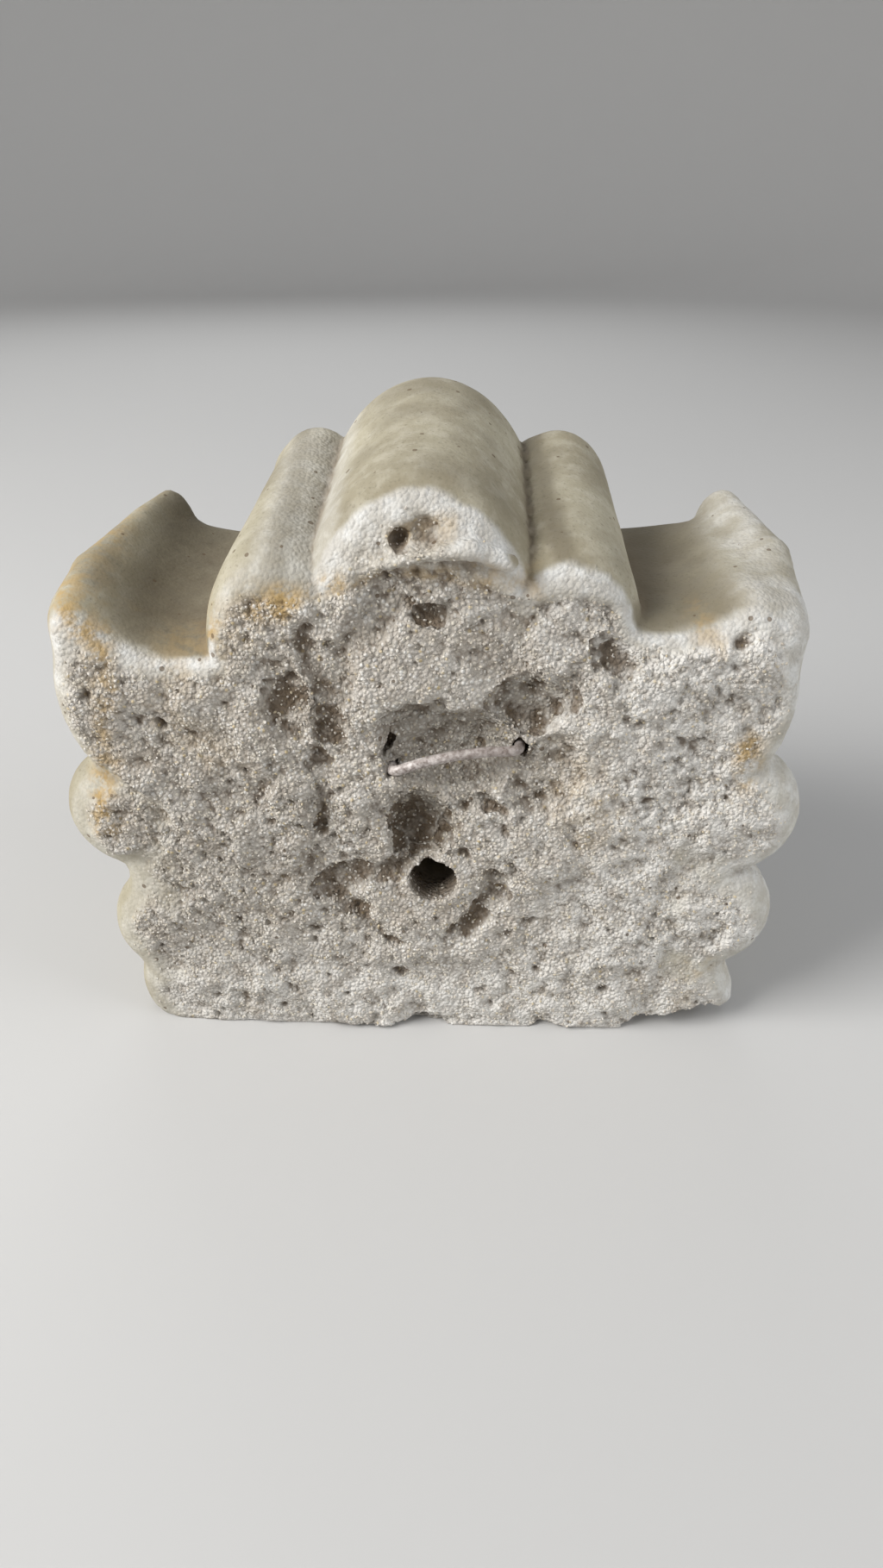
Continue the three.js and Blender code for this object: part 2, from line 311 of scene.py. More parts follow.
def tuft(side, end, flank):
    left, up, radius = flank
    return strip(side, (end[0], 6, *end[1:]), (left, 32, up, radius), (left - 9, 49, up + 2, 4.5))


def eyelids(side):
    return join(
        0.5,
        strip(
            side, (6.4, 57, 56.6, 0.9), (9.2, 59.4, 60.2, 1.3), (13, 60, 61.6, 1.5),
            (17.2, 57.8, 60, 1.3), (20.4, 54, 56.6, 0.8),
        ),
        strip(
            side, (6.4, 57, 56.2, 0.8), (9.5, 59, 52.8, 1.1), (13.4, 59.2, 51.6, 1.2),
            (17.4, 57, 53, 1.1), (20.4, 54, 56.4, 0.8),
        ),
    )


def teeth(side):
    fang = strip(side, (10, 60, 36, 3.2), (9.6, 61.6, 26.5, 1.5))
    front = [egg(at(x * side, 61.6, 33.8), 1.75, 2.2, 3.1) for x in (1.9, 5.6)]
    return join(0.4, fang, *front)


def moulded_form():
    """The casting as it left its mould: all but the flat cuts, the hollows and the wear."""
    mass = join(
        3,
        block(at(0, 13, 33), 43, 30, 39, 10),
        egg(at(0, 33, 40), 31, 27, 40),
        egg(at(0, 42, 66), 22, 19, 17),
        egg(at(0, 48, 15), 21, 14, 16),
        egg(at(0, 58, 9), 9, 7, 9),
        *both_sides(ear),
        *pair(19, 50, 46, 11, 9, 8.5),
        *pair(9.5, 57, 40, 11.5, 9.5, 7.5),
    )
    ruffs = [join(0.7, *[tuft(side, *one) for one in RUFF[side]]) for side in (LEFT, RIGHT)]
    web = block(at(-0.8, 5, 31), 50, 7, 26, 6.5)
    hollowed = carve(
        3.4,
        join(1.6, mass, web, *ruffs),
        *both_sides(lambda side: EARS[side][1]),
        *pair(40, 58, 66, 9, 13, 9),
    )
    crowned = join(0.5, hollowed, CROWN, CROWN_ROLLS[LEFT], CROWN_ROLLS[RIGHT], *both_sides(brow))
    nose = join(1.6, roll(at(0, 59, 62), 4.6, at(0, 66, 50.5), 6), *pair(6.4, 63, 49, 5, 5.6, 4.8))
    lip = strip(LEFT, (-17, 52, 27, 3), (-9.5, 60, 20.5, 3.6), (9.5, 60, 20.5, 3.6), (17, 52, 27, 3))
    mouthed = carve(
        1.1,
        join(1.4, crowned, nose, lip),
        egg(at(0, 62, 28.8), 15.5, 18, 7.6),
        *pair(13, 64, 56.5, 8, 8, 6.2),
        *pair(4.4, 69, 46.4, 2, 3.4, 1.7),
    )
    eyes = join(
        0.4,
        mouthed,
        egg(at(0, 54, 22.4), 8, 12, 4),
        *pair(13, 54, 56.5, 6, 5.6, 5.4),
        *both_sides(eyelids),
        *both_sides(teeth),
    )
    return carve(0.3, eyes, *pair(12.4, 60.4, 56.2, 1.7, 1.6, 2.1))


# Scoops in the broken back: left, up, half-width, half-height, depth, and tilt in degrees.
SCOOPS = (
    # Round the wire
    (2, 58.4, 6, 5, 4.4, 14),
    (-16.4, 62.2, 6, 3.4, 4.2, 8),
    (-18.6, 61.4, 2.4, 2.4, 3, 0),
    (-18, 49.4, 5.6, 8.4, 2.6, -28),
    (4.8, 55, 0.8, 3.6, 6.5, -12),
    # Above the bore
    (0.2, 41, 5, 6.6, 5.6, 0),
    (-6.4, 46, 6.8, 2.4, 3.2, -18),
    # The upper left and the left
    (20.4, 62.4, 2.9, 6, 3, 10),
    (19.4, 57.4, 2.6, 2.4, 2.3, 0),
    (21.4, 67.6, 2, 2, 2, 0),
    (-1.4, 76.2, 4.6, 1.7, 3, 0),
    (-2, 76, 1.5, 0.9, 2, 0),
    (34, 57, 8, 3, 1.6, -16),
    (41, 66, 2.6, 1.6, 1.5, 20),
    (40, 59, 1.6, 1.6, 1.6, 0),
    # The right
    (-26.8, 69, 2.8, 4.2, 3, 18),
    (-33, 70, 3.6, 2, 1.5, 0),
    (-36.2, 60.6, 1.9, 0.9, 1.8, -24),
    (-31.6, 57, 0.9, 1.6, 1.6, 0),
    (-33.2, 45.2, 0.8, 2.2, 1.8, 10),
    (-45.2, 73.4, 2.2, 1.5, 2.2, -20),
    (-45.1, 29.7, 1, 1.3, 1.8, 0),
    (-51, 26.2, 1.7, 1.8, 1.2, 0),
    (-41, 52, 4, 5, 1.5, 0),
    (-30, 34, 5, 2, 1.2, 20),
    # The left ear and the lower left
    (50.4, 70.8, 1.9, 2, 1.2, 0),
    (23.1, 31.7, 0.9, 1.1, 1.8, 0),
    (38.2, 31.6, 1.1, 1.1, 1.8, 20),
    (37.4, 26.4, 0.9, 1.4, 1.6, 0),
    (30, 19.4, 1.8, 1, 1.5, 30),
    (17.6, 33.6, 2.6, 1.6, 1.8, 0),
    (27, 46, 5, 2, 1.2, -10),
    (36, 41, 4, 1.6, 1.2, 15),
    (18, 22, 2, 3, 1.4, 0),
    # The bottom edge
    (1, -0.6, 4.6, 1.9, 3.4, 0),
    (-20.4, -0.4, 3.4, 1.8, 3, 0),
    (-37, 0, 2.6, 2.6, 3.2, 0),
    (9.6, -0.6, 2, 1.1, 2, 0),
    (32, -0.8, 4, 1.2, 1.6, 0),
)
# Grooves in the broken back: half-width, depth, and stops of left and up.
GROOVES = (
    (2.1, 2.8, (-11.5, 31), (-11.2, 27), (-9.4, 23.4), (-5.6, 20.4)),
    (2.2, 2.5, (15.4, 29.2), (8.7, 31.6), (3.4, 32.4)),
    (2, 2.5, (12.3, 27.6), (9, 22.5), (4.6, 18.8)),
    (2.6, 2.8, (15.8, 71.4), (14.2, 65), (14.3, 57.4)),
    (2.8, 2.6, (16, 52.4), (15.6, 47), (16.8, 41)),
    (2.9, 2.6, (4.4, 77.8), (8, 73.6), (11.4, 69.2), (13.6, 62)),
    (1.3, 1.3, (-45.6, 62.4), (-47.2, 58), (-47.4, 54.6)),
)


def scoop(left, up, half_left, half_up, depth, tilt):
    """An egg-shaped hollow in the back, turned about the way that it faces."""
    turn = math.radians(tilt)
    # The egg's middle stands out of the stone, so that the hollow has sloping sides and no lip
    form = egg(at(0, -0.4 * depth, 0), 1.2 * half_left, 1.4 * depth, 1.2 * half_up)

    def distance(p):
        x = p[:, 0] - left
        z = p[:, 2] - up
        turned = np.stack((
            x * math.cos(turn) - z * math.sin(turn), p[:, 1], x * math.sin(turn) + z * math.cos(turn)
        ), 1)
        return form(turned)

    return distance


def groove(half_width, depth, *stops):
    """A gouge in the back, as the foot of a row of rolls that stand out of it."""
    radius = (half_width ** 2 + depth ** 2) / (2 * depth)
    return chain(*[(at(left, depth - radius, up), radius) for left, up in stops])


# Numbers that look random but are the same in every run, for whole-numbered places
def hashed(x, y, z, seed):
    mixed = (x * 73856093) ^ (y * 19349663) ^ (z * 83492791) ^ (seed * 26544357)
    mixed = ((mixed ^ (mixed >> 13)) * 12741261) & 0x7FFFFFFF
    mixed = ((mixed ^ (mixed >> 15)) * 22695477) & 0x7FFFFFFF
    return ((mixed ^ (mixed >> 16)) & 0xFFFFF) / 0xFFFFF


# The noise is laid out on a turned grid, so that none of its rows runs along the back
TURN = np.array(Matrix.Rotation(math.radians(38), 3, Vector((1, 2, 0.6))), np.float32)


def swell(p, size, seed):
    """Smooth noise from -1 to 1, rising and falling about every two sizes."""
    q = p @ TURN / size + 17.3 * seed
    cell = np.floor(q).astype(np.int64)
    part = q - cell
    part = part * part * (3 - 2 * part)
    total = np.zeros(len(p))
    for corner in np.ndindex(2, 2, 2):
        weight = np.prod(np.where(corner, part, 1 - part), axis=1)
        total += weight * hashed(*(cell + corner).T, seed)
    return 2 * total - 1


def strewn(p, size, seed):
    """Distance, in sizes, to the nearest of points strewn one to a cube, and that point's own number."""
    q = p @ TURN / size
    cell = np.floor(q).astype(np.int64)
    nearest = np.full(len(p), 9.0)
    own = np.zeros(len(p))
    for step in np.ndindex(3, 3, 3):
        x, y, z = (cell + step - 1).T
        spot = np.stack([axis + hashed(x, y, z, seed + n) for n, axis in enumerate((x, y, z))], 1)
        away = np.linalg.norm(q - spot, axis=1)
        own = np.where(away < nearest, hashed(x, y, z, seed + 3), own)
        nearest = np.minimum(nearest, away)
    return nearest, own


def ease(low, high, value):
    """0 below low, 1 above high, and smooth between."""
    t = np.clip((value - low) / (high - low), 0, 1)
    return t * t * (3 - 2 * t)


# How far inside the moulded back the break lies
BACK_ALLOWANCE = 0.8
# How softly the edges are worn: all round the back, at the bevel of its top, and at the break itself
EDGE_WEAR = 8
BEVEL_WEAR = 3.4
BREAK_WEAR = 2.4
# How softly the scoops meet the back, the holes meet the stone, and the broken corner and the base too
SCOOP_WEAR = 0.9
HOLE_WEAR = 0.5
CORNER_WEAR = 1.2
BASE_WEAR = 0.4
# How deep below the back the scoops are looked for
SCOOPS_REACH = -9
# How far noise shifts the scoops' outlines: its size, its first seed and the shift
SHIFTS = ((3.2, 40, 1.3), (1.2, 50, 0.5))
BORE_LENGTH = 58
# The middles of the bore and of the hollow behind the wire: left and up
BORE_PLACE = (-1.5, 30.5)
HOOK_PLACE = (-4.7, 52.6)


def weathered(moulded, settings, wire):
    """The form with its flat cuts, its holes, its wear and the hollows of its broken back."""
    share = settings.height / 100
    deep = settings.hook_depth / share
    across = wire.span / 2 / share
    worn = carve(EDGE_WEAR, moulded, beyond((0, 1, 0), -BACK_ALLOWANCE))
    bevelled = carve(BEVEL_WEAR, worn, beyond((0, 0.9, 0.43), 37.9))
    flat = carve(BREAK_WEAR, bevelled, beyond((0, 1, 0), 0))
    hook = egg(at(HOOK_PLACE[0] + 0.4, -0.5 * deep, HOOK_PLACE[1] + 1.2), 12.6, 1.5 * deep, 8.6)
    bore = hole(*BORE_PLACE, settings.bore / 2 / share, BORE_LENGTH)
    sockets = []
    for side in (LEFT, RIGHT):
        x = HOOK_PLACE[0] + side * across * math.cos(wire.tilt)
        z = HOOK_PLACE[1] - side * across * math.sin(wire.tilt)
        sockets.append(hole(x, z, settings.socket / 2 / share, wire.legs / share + 0.5))
    # The low ridge under the crown's rim
    ridge = strip(
        LEFT, (5.6, 0.5, 83.4, 0.9), (2.6, 0, 84.2, 1), (-1.6, -0.3, 85.6, 1.2), (-6.8, 0, 85.8, 1.2),
        (-12, 0.8, 83.8, 1),
    )
    ridged = join(2.2, flat, ridge)
    scoops = [scoop(*one) for one in SCOOPS]
    grooves = [groove(*one) for one in GROOVES]
    # The hollow like an eye in the crown's rim, and its deep corner
    eye = [scoop(-0.2, 88, 4.4, 1.8, 3, 14), egg(at(3.1, 0.9, 86.6), 1.1, 3, 1.2)]
    # The corner that is broken away under the right flank
    corner = egg(at(-47, 3, -4.6), 13, 16, 8.6)
    base = beyond((0, 0, -1), 0)

    def distance(p):
        d = ridged(p)
        near = p[:, 1] > SCOOPS_REACH
        q = p[near]
        bent = sum(
            np.stack([swell(q, size, seed + n) for n in range(3)], 1) * shift for size, seed, shift in SHIFTS
        )
        bent[:, 1] = 0
        bent = bent.astype(np.float32)
        q = q + bent
        back = d[near]
        for cutter in scoops + grooves:
            back = -soft_min(-back, cutter(q), SCOOP_WEAR)
        for cutter in eye:
            back = -soft_min(-back, cutter(q - 0.6 * bent), HOLE_WEAR)
        d[near] = back
        for cutter in (hook, bore, *sockets):
            d = -soft_min(-d, cutter(p), HOLE_WEAR)
        d = -soft_min(-d, corner(p), CORNER_WEAR)
        return -soft_min(-d, base(p), BASE_WEAR)

    return distance


def skin_of(value, corner, pitch):
    """The places and four-sided faces of the surface where value goes through nothing, on a grid."""
    shape = np.array(value.shape) - 1
    inside = value < 0
    total = np.zeros((*shape, 3), np.float32)
    count = np.zeros(shape, np.float32)
    crossings = []
    for axis in range(3):
        others = ((axis + 1) % 3, (axis + 2) % 3)
        first = [slice(None)] * 3
        second = [slice(None)] * 3
        first[axis] = slice(None, -1)
        second[axis] = slice(1, None)
        a, b = value[tuple(first)], value[tuple(second)]
        cross = inside[tuple(first)] != inside[tuple(second)]
        part = np.where(cross, a / np.where(cross, a - b, 1), 0)
        for steps in np.ndindex(2, 2):
            window = [slice(None)] * 3
            for other, step in zip(others, steps):
                window[other] = slice(step, shape[other] + step)
            hit = cross[tuple(window)]
            count += hit
            total[..., axis] += part[tuple(window)]
            for other, step in zip(others, steps):
                total[..., other] += step * hit
        crossings.append((axis, others, cross, inside[tuple(first)]))
    used = count > 0
    number = np.full(shape, -1, np.int64)
    number[used] = np.arange(used.sum())
    places = np.argwhere(used) + total[used] / count[used][:, None]
    faces = []
    for axis, (second, third), cross, rises in crossings:
        spots = np.argwhere(cross)
        spots = spots[(spots[:, second] > 0) & (spots[:, third] > 0)]
        spots = spots[(spots[:, second] < shape[second]) & (spots[:, third] < shape[third])]
        corners = []
        for back, down in ((1, 1), (0, 1), (0, 0), (1, 0)):
            cell = spots.copy()
            cell[:, second] -= back
            cell[:, third] -= down
            corners.append(number[tuple(cell.T)])
        quads = np.stack(corners, 1)
        turned = ~rises[tuple(spots.T)]
        quads[turned] = quads[turned][:, ::-1]
        faces.append(quads)
    return corner + places * pitch, np.concatenate(faces)


def slopes(form, p, step=0.12):
    """The way out of the form at each place, at unit length, and how steep it is."""
    along = np.stack([
        form(p + step * np.eye(3, dtype=np.float32)[n]) - form(p - step * np.eye(3, dtype=np.float32)[n])
        for n in range(3)
    ], 1) / (2 * step)
    steep = np.maximum(np.linalg.norm(along, axis=1), 0.2)
    return along / steep[:, None], steep


def line_gap(across, up, stops):
    """Distance from each flat place to a row of straight lines."""
    p = np.stack((across, up), 1)
    gap = np.full(len(p), 1e3)
    for start, end in zip(stops[:-1], stops[1:]):
        start, way = np.array(start), np.array(end) - np.array(start)
        along = np.clip((p - start) @ way / (way @ way), 0, 1)
        gap = np.minimum(gap, np.linalg.norm(p - start - along[:, None] * way, axis=1))
    return gap


# Lines carved in the face, on both sides of it: half-width, depth, and stops of left and up.
FACE_LINES = (
    (1.1, 1.3, (8.4, 51.6), (14.6, 47.4), (20, 40), (21.6, 30)),
    (0.9, 0.8, (16, 49.6), (22, 47.4), (27, 41.4)),
    (0.8, 0.7, (21.4, 52.8), (28, 50.4), (32.4, 44.6)),
    (0.8, 0.7, (2.2, 62), (3, 67), (2.4, 72)),
    (0.7, 0.6, (0, 58.6), (4.2, 59.4), (7.4, 57.6)),
    (0.7, 0.6, (0, 55.2), (4.2, 56), (6.8, 54)),
    (0.9, 0.8, (0, 84.4), (7, 83.4), (11, 80.6)),
    (0.9, 0.8, (0, 79.4), (6, 78.4), (10, 76)),
    (0.8, 0.7, (0, 74.8), (5, 74)),
    (0.9, 0.8, (0, 14.4), (8, 15), (14.4, 18)),
    (0.8, 0.8, (3, 12.6), (3.6, 2.4)),
    (0.8, 0.8, (8.4, 13), (10.2, 3)),
    (0.8, 0.8, (14, 15), (17.4, 4)),
    (0.9, 0.9, (37, 58.6), (40.4, 66), (43, 73)),
    (0.9, 0.9, (33, 60), (35, 66), (36.6, 71)),
)
# Strands along the ruff, seen from the side: half-width, depth, and stops of forward and up.
STRANDS = (
    (1.1, 1.1, (15, 46), (30, 47.6), (44, 47)),
    (1.1, 1.1, (13, 39.6), (30, 41), (46, 42)),
    (1.1, 1.1, (15, 24.6), (30, 27.4), (46, 28.6)),
    (1.1, 1.1, (13, 17.4), (30, 20.8), (46, 23)),
    (1.1, 1, (14, 9.6), (30, 12), (46, 13)),
    (1, 0.9, (14, 3), (30, 5), (44, 6)),
    (1, 0.8, (16, 61), (32, 63.6), (44, 62)),
)
# Ochre stains near the back: radius, strength, and stops of left and up.
STAINS = (
    (2.6, 1, (53, 78), (49, 74), (45, 71.4)),
    (2.6, 1, (33, 71.6), (24, 75.8), (17.8, 78), (11.4, 80.4)),
    (1.7, 0.7, (11.4, 80.4), (1, 81.8), (-9, 80.4)),
    (3.4, 1, (45.6, 70), (46.4, 62), (48, 55), (49.6, 45), (48.6, 39)),
    (3.4, 1, (-47.6, 55), (-48.4, 48.6)),
    (2.6, 0.5, (-38.6, 73.4), (-42.6, 71.6)),
    (3, 0.5, (-6.4, 83), (-15.6, 79.6)),
    (2.6, 0.8, (3, 87.2), (-2.4, 88.6)),
    (4, 0.35, (-46, 15), (-44, 6)),
    (9, 0.35, (-22, 52), (-25, 40)),
    (5, 0.3, (38, 60), (30, 52)),
    (7, 0.35, (24, 76), (36, 66)),
)


def zones_of(p, normal, moulded):
    """How far each place is broken stone, scoured rim with some painted light, ochre stain, damp dirt with
    painted shade, and pale: 0 to 1.
    """
    left, behind, up = p.T
    depth = -moulded(p)
    wander = swell(p, 4.5, 61) + 0.6 * swell(p, 1.8, 62)
    near_back = ease(-9, -6, behind)
    # The crown's rim is scoured smooth a long way down
    later = 5.5 * ease(77, 85, up)
    broken = ease(2.1 + later, 4.6 + later, depth + 0.75 * wander)
    broken = np.maximum(broken, 0.5 * ease(2.6, 5, depth + 1.3 * wander)) * near_back
    rim = ease(0.9, 1.6, depth + 0.3 * wander) * ease(-12, -7, behind)
    high = ease(58, 68, up)
    worn = rim * (1 - 0.85 * broken) * (0.35 + 0.65 * high)
    ear_edge = ease(34, 40, np.abs(left)) * ease(64, 68, up) * ease(-7, -2, behind)
    worn = np.maximum(worn, 0.85 * ear_edge * ease(0.5, 1.1, depth + 0.3 * wander))
    # The left roll keeps its skin nearly to the break. Where it meets the crown it is painted paler, as
    # painted light against the crown's shadow.
    worn *= 1 - 0.5 * ease(13, 17, left) * ease(36, 31, left) * ease(70, 73, up)
    painted_light_by_crown = ease(10, 13, left) * ease(25, 21, left) * ease(-48, -36, behind)
    worn = np.maximum(worn, 0.45 * painted_light_by_crown * ease(68, 74, up))
    # The lobes of the right side take the worn rims' pale colour
    worn = np.maximum(worn, ease(-42, -48, left) * ease(-17, -9, behind) * (0.8 + 0.3 * wander))
    ochre = np.zeros(len(p))
    for radius, strength, *stops in STAINS:
        gap = line_gap(left, up, stops) + 1.3 * wander
        ochre = np.maximum(ochre, strength * ease(radius, -0.5, gap))
    ochre *= ease(-14, -9, behind)
    # The left ear's lip is stained along its whole length
    lip = ease(45, 50, left) * ease(70, 76, up) * (0.6 + 0.3 * wander)
    # The right ear's lip is rubbed pale
    worn = np.maximum(worn, ease(-40, -49, left) * ease(69, 74, up) * (0.45 + 0.3 * wander))
    # Rain leaves its dirt in the ears' troughs. The right trough's darkening is partly painted shade.
    damp = np.zeros(len(p))
    for side, strength in ((LEFT, 1), (RIGHT, 0.8)):
        gap = np.abs(EARS[side][1](p)) + 0.5 * wander
        damp = np.maximum(damp, strength * ease(2.6, 0.6, gap))
    damp *= 1 - ease(42, 48, np.abs(left))
    # Weather darkens the skin in blotches where it faces up
    blotches = ease(-0.2, 0.7, swell(p, 8, 65) + 0.5 * swell(p, 3, 66))
    sooty = 0.45 * ease(0.2, 0.8, normal[:, 2]) * blotches
    damp = (1 - worn) * np.maximum(damp, sooty * ease(20, 50, up))
    # The broken back is browner on the left. Its hollows are painted brown: some dirt, and painted shade.
    left_side = ease(4, 24, left + 3 * wander) * ease(74, 66, up + 3 * wander)
    kept_dirt_and_shade = ease(0.8, 4.6, -behind) * ease(4, 8, depth) * (0.75 + 0.2 * wander)
    damp = (1 - broken) * damp + broken * np.maximum(0.17 * left_side, 0.6 * kept_dirt_and_shade)
    # The right side and the foot of the back are paler
    pale = np.maximum(ease(-6, -34, left + 5 * wander), ease(24, 6, up + 3 * wander))
    pale *= 0.8 * (1 - kept_dirt_and_shade)
    ochre = np.clip(np.maximum(ochre, lip), 0, 1)
    return {"broken": broken, "worn": np.clip(worn, 0, 1), "ochre": ochre, "damp": damp, "pale": pale}


def relief_of(p, normal, broken, worn, crumbs):
    """How far each place stands out of the smooth form, in shares."""
    left, behind, up = p.T
    bent = p + np.stack([swell(p, 1.1, 90 + n) for n in range(3)], 1) * 0.45
    clods, own_clod = strewn(bent, 6 * MM, 81)
    coarse, own_coarse = strewn(p, 3 * MM, 11)
    fine, _ = strewn(p, 1.7 * MM, 21)
    pits, own_pit = strewn(bent, 7.5 * MM, 31)
    small, own_small = strewn(bent, 3.6 * MM, 71)
    sugary = ease(-0.5, 0.6, swell(p, 12, 5)) * ease(6, 26, up)
    low_left = ease(-5, 15, left) * ease(60, 35, up)
    broad = 2.1 * swell(p, 26 * MM, 8) + 1.6 * swell(p, 12 * MM, 1)
    lumps = broad + 1.1 * swell(p, 5.4 * MM, 2) + 1.9 * (0.5 - clods) * (0.3 + 0.7 * own_clod)
    rough = (lumps - 0.5) * MM
    sand = (0.55 - coarse) * (0.6 + own_coarse) + 0.8 * (0.5 - fine)
    rough += crumbs * (0.85 + 0.95 * sugary) * sand
    rough -= 1.9 * MM * ease(0.36, 0.06, pits) * ease(0.8 - 0.22 * low_left, 0.92, own_pit)
    often = ease(0.58 - 0.22 * low_left, 0.9, own_small)
    rough -= (1.1 + 0.6 * low_left) * MM * ease(0.4, 0.1, small) * often
    scoured = crumbs * 0.5 * (0.5 - fine) + 0.25 * MM * swell(p, 3 * MM, 4)
    skin = 0.14 * MM * swell(p, 9 * MM, 6) + 0.05 * MM * swell(p, 2.4 * MM, 7)
    skin -= 0.5 * MM * ease(0.2, 0.08, small) * ease(0.9, 0.97, own_small)
    height = broken * rough + (1 - broken) * (worn * scoured + (1 - worn) * skin)
    from_bore = np.hypot(left - BORE_PLACE[0], up - BORE_PLACE[1])
    height *= 0.12 + 0.88 * ease(4, 6.4, from_bore)
    # The base stays flat enough to stand on
    height *= ease(0.1, 1.2, up) * 0.9 + 0.1 * (up > 0.5)

    forward = ease(0.1, 0.45, -normal[:, 1]) * ease(-36, -42, behind)
    sideways = ease(0.2, 0.55, np.abs(normal[:, 0])) * ease(-11, -17, behind)
    for facing, across, lines in ((forward, np.abs(left), FACE_LINES), (sideways, -behind, STRANDS)):
        for half_width, depth, *stops in lines:
            height -= facing * depth * ease(half_width * 1.5, 0, line_gap(across, up, stops))
    return height


def neighbours_mean(values, edges, counts):
    sums = [
        np.bincount(edges[:, 0], values[edges[:, 1], n], len(values))
        + np.bincount(edges[:, 1], values[edges[:, 0], n], len(values))
        for n in range(3)
    ]
    return np.stack(sums, 1) / counts[:, None]


def hollowness(places, normal, edges, rounds):
    """How far each place lies below its surroundings, in the places' own unit."""
    counts = np.maximum(np.bincount(edges.ravel(), minlength=len(places)), 1)
    mean = places
    for _ in range(rounds):
        mean = neighbours_mean(mean, edges, counts)
    return ((mean - places) * normal).sum(1)


def places_of(mesh):
    flat = np.empty(len(mesh.vertices) * 3, np.float32)
    mesh.vertices.foreach_get("co", flat)
    return flat.reshape(-1, 3)


# How deep the finer grid goes on the broken back, and in the hollows round its middle
FINE_BACK = -2.3
FINE_HOLLOWS = -8
# Where those hollows lie: their middle and half-width to the left, and their foot
HOLLOWS = (-5, 17, 27)
# Where the face begins, forward of the back, and how wide it is to each side
FACE_FROM = -50
FACE_WIDTH = 27
# Faces whose corners turn more than this are creases: the cosine of the angle between them
CREASE = 0.62
# Within this radius, and from this depth on, the bore's wall stays plain
PLAIN_BORE = 4.4
PLAIN_BORE_FROM = -6
# The most that a place is moved onto the form in one step, in cells
LONGEST_STEP = 0.3


def refine(mesh, form, pitch):
    """Splits the faces in four on the broken back, on the face and along the creases."""
    places = places_of(mesh)
    normal, _ = slopes(form, places)
    corners = np.empty(len(mesh.polygons) * 4, np.int64)
    mesh.polygons.foreach_get("vertices", corners)
    corners = corners.reshape(-1, 4)
    centre = places[corners].mean(1)
    bend = (normal[corners] * normal[np.roll(corners, 2, 1)]).sum(2).min(1)
    left, behind, up = centre.T
    backward = normal[corners][:, :, 1].mean(1)
    back = (behind > FINE_BACK) & (backward > 0.3)
    middle, width, foot = HOLLOWS
    hollows = (behind > FINE_HOLLOWS) & (np.abs(left - middle) < width) & (up > foot)
    face = (behind < FACE_FROM) & (np.abs(left) < FACE_WIDTH) & (backward < -0.1)
    crease = (bend < CREASE) & (up > 2)
    bore = np.hypot(left - BORE_PLACE[0], up - BORE_PLACE[1]) < PLAIN_BORE
    chosen = (back | hollows | face | crease) & ~(bore & (behind < PLAIN_BORE_FROM))
    bm = bmesh.new()
    bm.from_mesh(mesh)
    bm.faces.ensure_lookup_table()
    edges = {edge for n in np.flatnonzero(chosen) for edge in bm.faces[n].edges}
    bmesh.ops.subdivide_edges(bm, edges=list(edges), cuts=1, use_grid_fill=True)
    bmesh.ops.triangulate(bm, faces=[f for f in bm.faces if len(f.verts) > 4])
    bm.to_mesh(mesh)
    bm.free()
    # The new places are moved onto the form
    places = places_of(mesh)
    for _ in range(2):
        normal, steep = slopes(form, places)
        step = np.clip(form(places) / steep, -LONGEST_STEP * pitch, LONGEST_STEP * pitch)
        places = (places - step[:, None] * normal).astype(np.float32)
    return places


# Settings that many nodes share
MULTIPLY = {"operation": "MULTIPLY"}
MULTIPLY_ADD = {"operation": "MULTIPLY_ADD"}
SMOOTH = {"interpolation_type": "SMOOTHSTEP"}
COLOURS = {"data_type": "RGBA"}
VECTORS = {"data_type": "FLOAT_VECTOR"}


def add(tree, kind, settings=None, inputs=None):
    """Adds a node, sets its properties, and gives its inputs values or links. A node given as a value
    stands for its first output."""
    node = tree.nodes.new(kind)
    for name, value in (settings or {}).items():
        setattr(node, name, value)
    for key, value in (inputs or {}).items():
        if isinstance(value, bpy.types.Node):
            value = value.outputs[0]
        if isinstance(value, bpy.types.NodeSocket):
            tree.links.new(value, node.inputs[key])
        else:
            node.inputs[key].default_value = value
    return node


def tint_of(tint):
    """What a colour socket takes: a link as it is, and an sRGB hex value or a linear colour made opaque."""
    if isinstance(tint, (bpy.types.Node, bpy.types.NodeSocket)):
        return tint
    return (*(linear(tint) if isinstance(tint, str) else tint), 1.0)


def per_metre(millimetres):
    """The scale of a pattern whose feature is this many millimetres wide."""
    return 1000 / millimetres


def new_material(name):
    material = bpy.data.materials.new(name)
    material.use_nodes = True
    material.node_tree.nodes.clear()
    return material, material.node_tree


def layered(tree, base, layers):
    """Lays colours over a base one by one. Each layer is the value that it follows, where on that value
    it starts and is full, the most of it that shows, and its colour."""
    for value, low, high, most, layer in layers:
        share = add(tree, "ShaderNodeMapRange", SMOOTH, {
            "Value": value, "From Min": low, "From Max": high, "To Max": most,
        })
        mixed = add(tree, "ShaderNodeMix", COLOURS, {0: share, 6: tint_of(base), 7: tint_of(layer)})
        base = mixed.outputs[2]
    return base


def coated(tree, base, coats):
    """Puts coats on a base one by one. Each coat is its mask, the share that shows there, and its colour."""
    for mask, most, coat in coats:
        share = add(tree, "ShaderNodeMath", {"operation": "MULTIPLY", "use_clamp": True}, {0: mask, 1: most})
        mixed = add(tree, "ShaderNodeMix", COLOURS, {0: share, 6: tint_of(base), 7: tint_of(coat)})
        base = mixed.outputs[2]
    return base


def set_stops(ramp, stops):
    """Gives a colour ramp one flat colour from each stop to the next."""
    ramp.interpolation = "CONSTANT"
    for n, (start, code) in enumerate(stops):
        stop = ramp.elements[n] if n < 2 else ramp.elements.new(start)
        stop.position = start
        stop.color = tint_of(code)


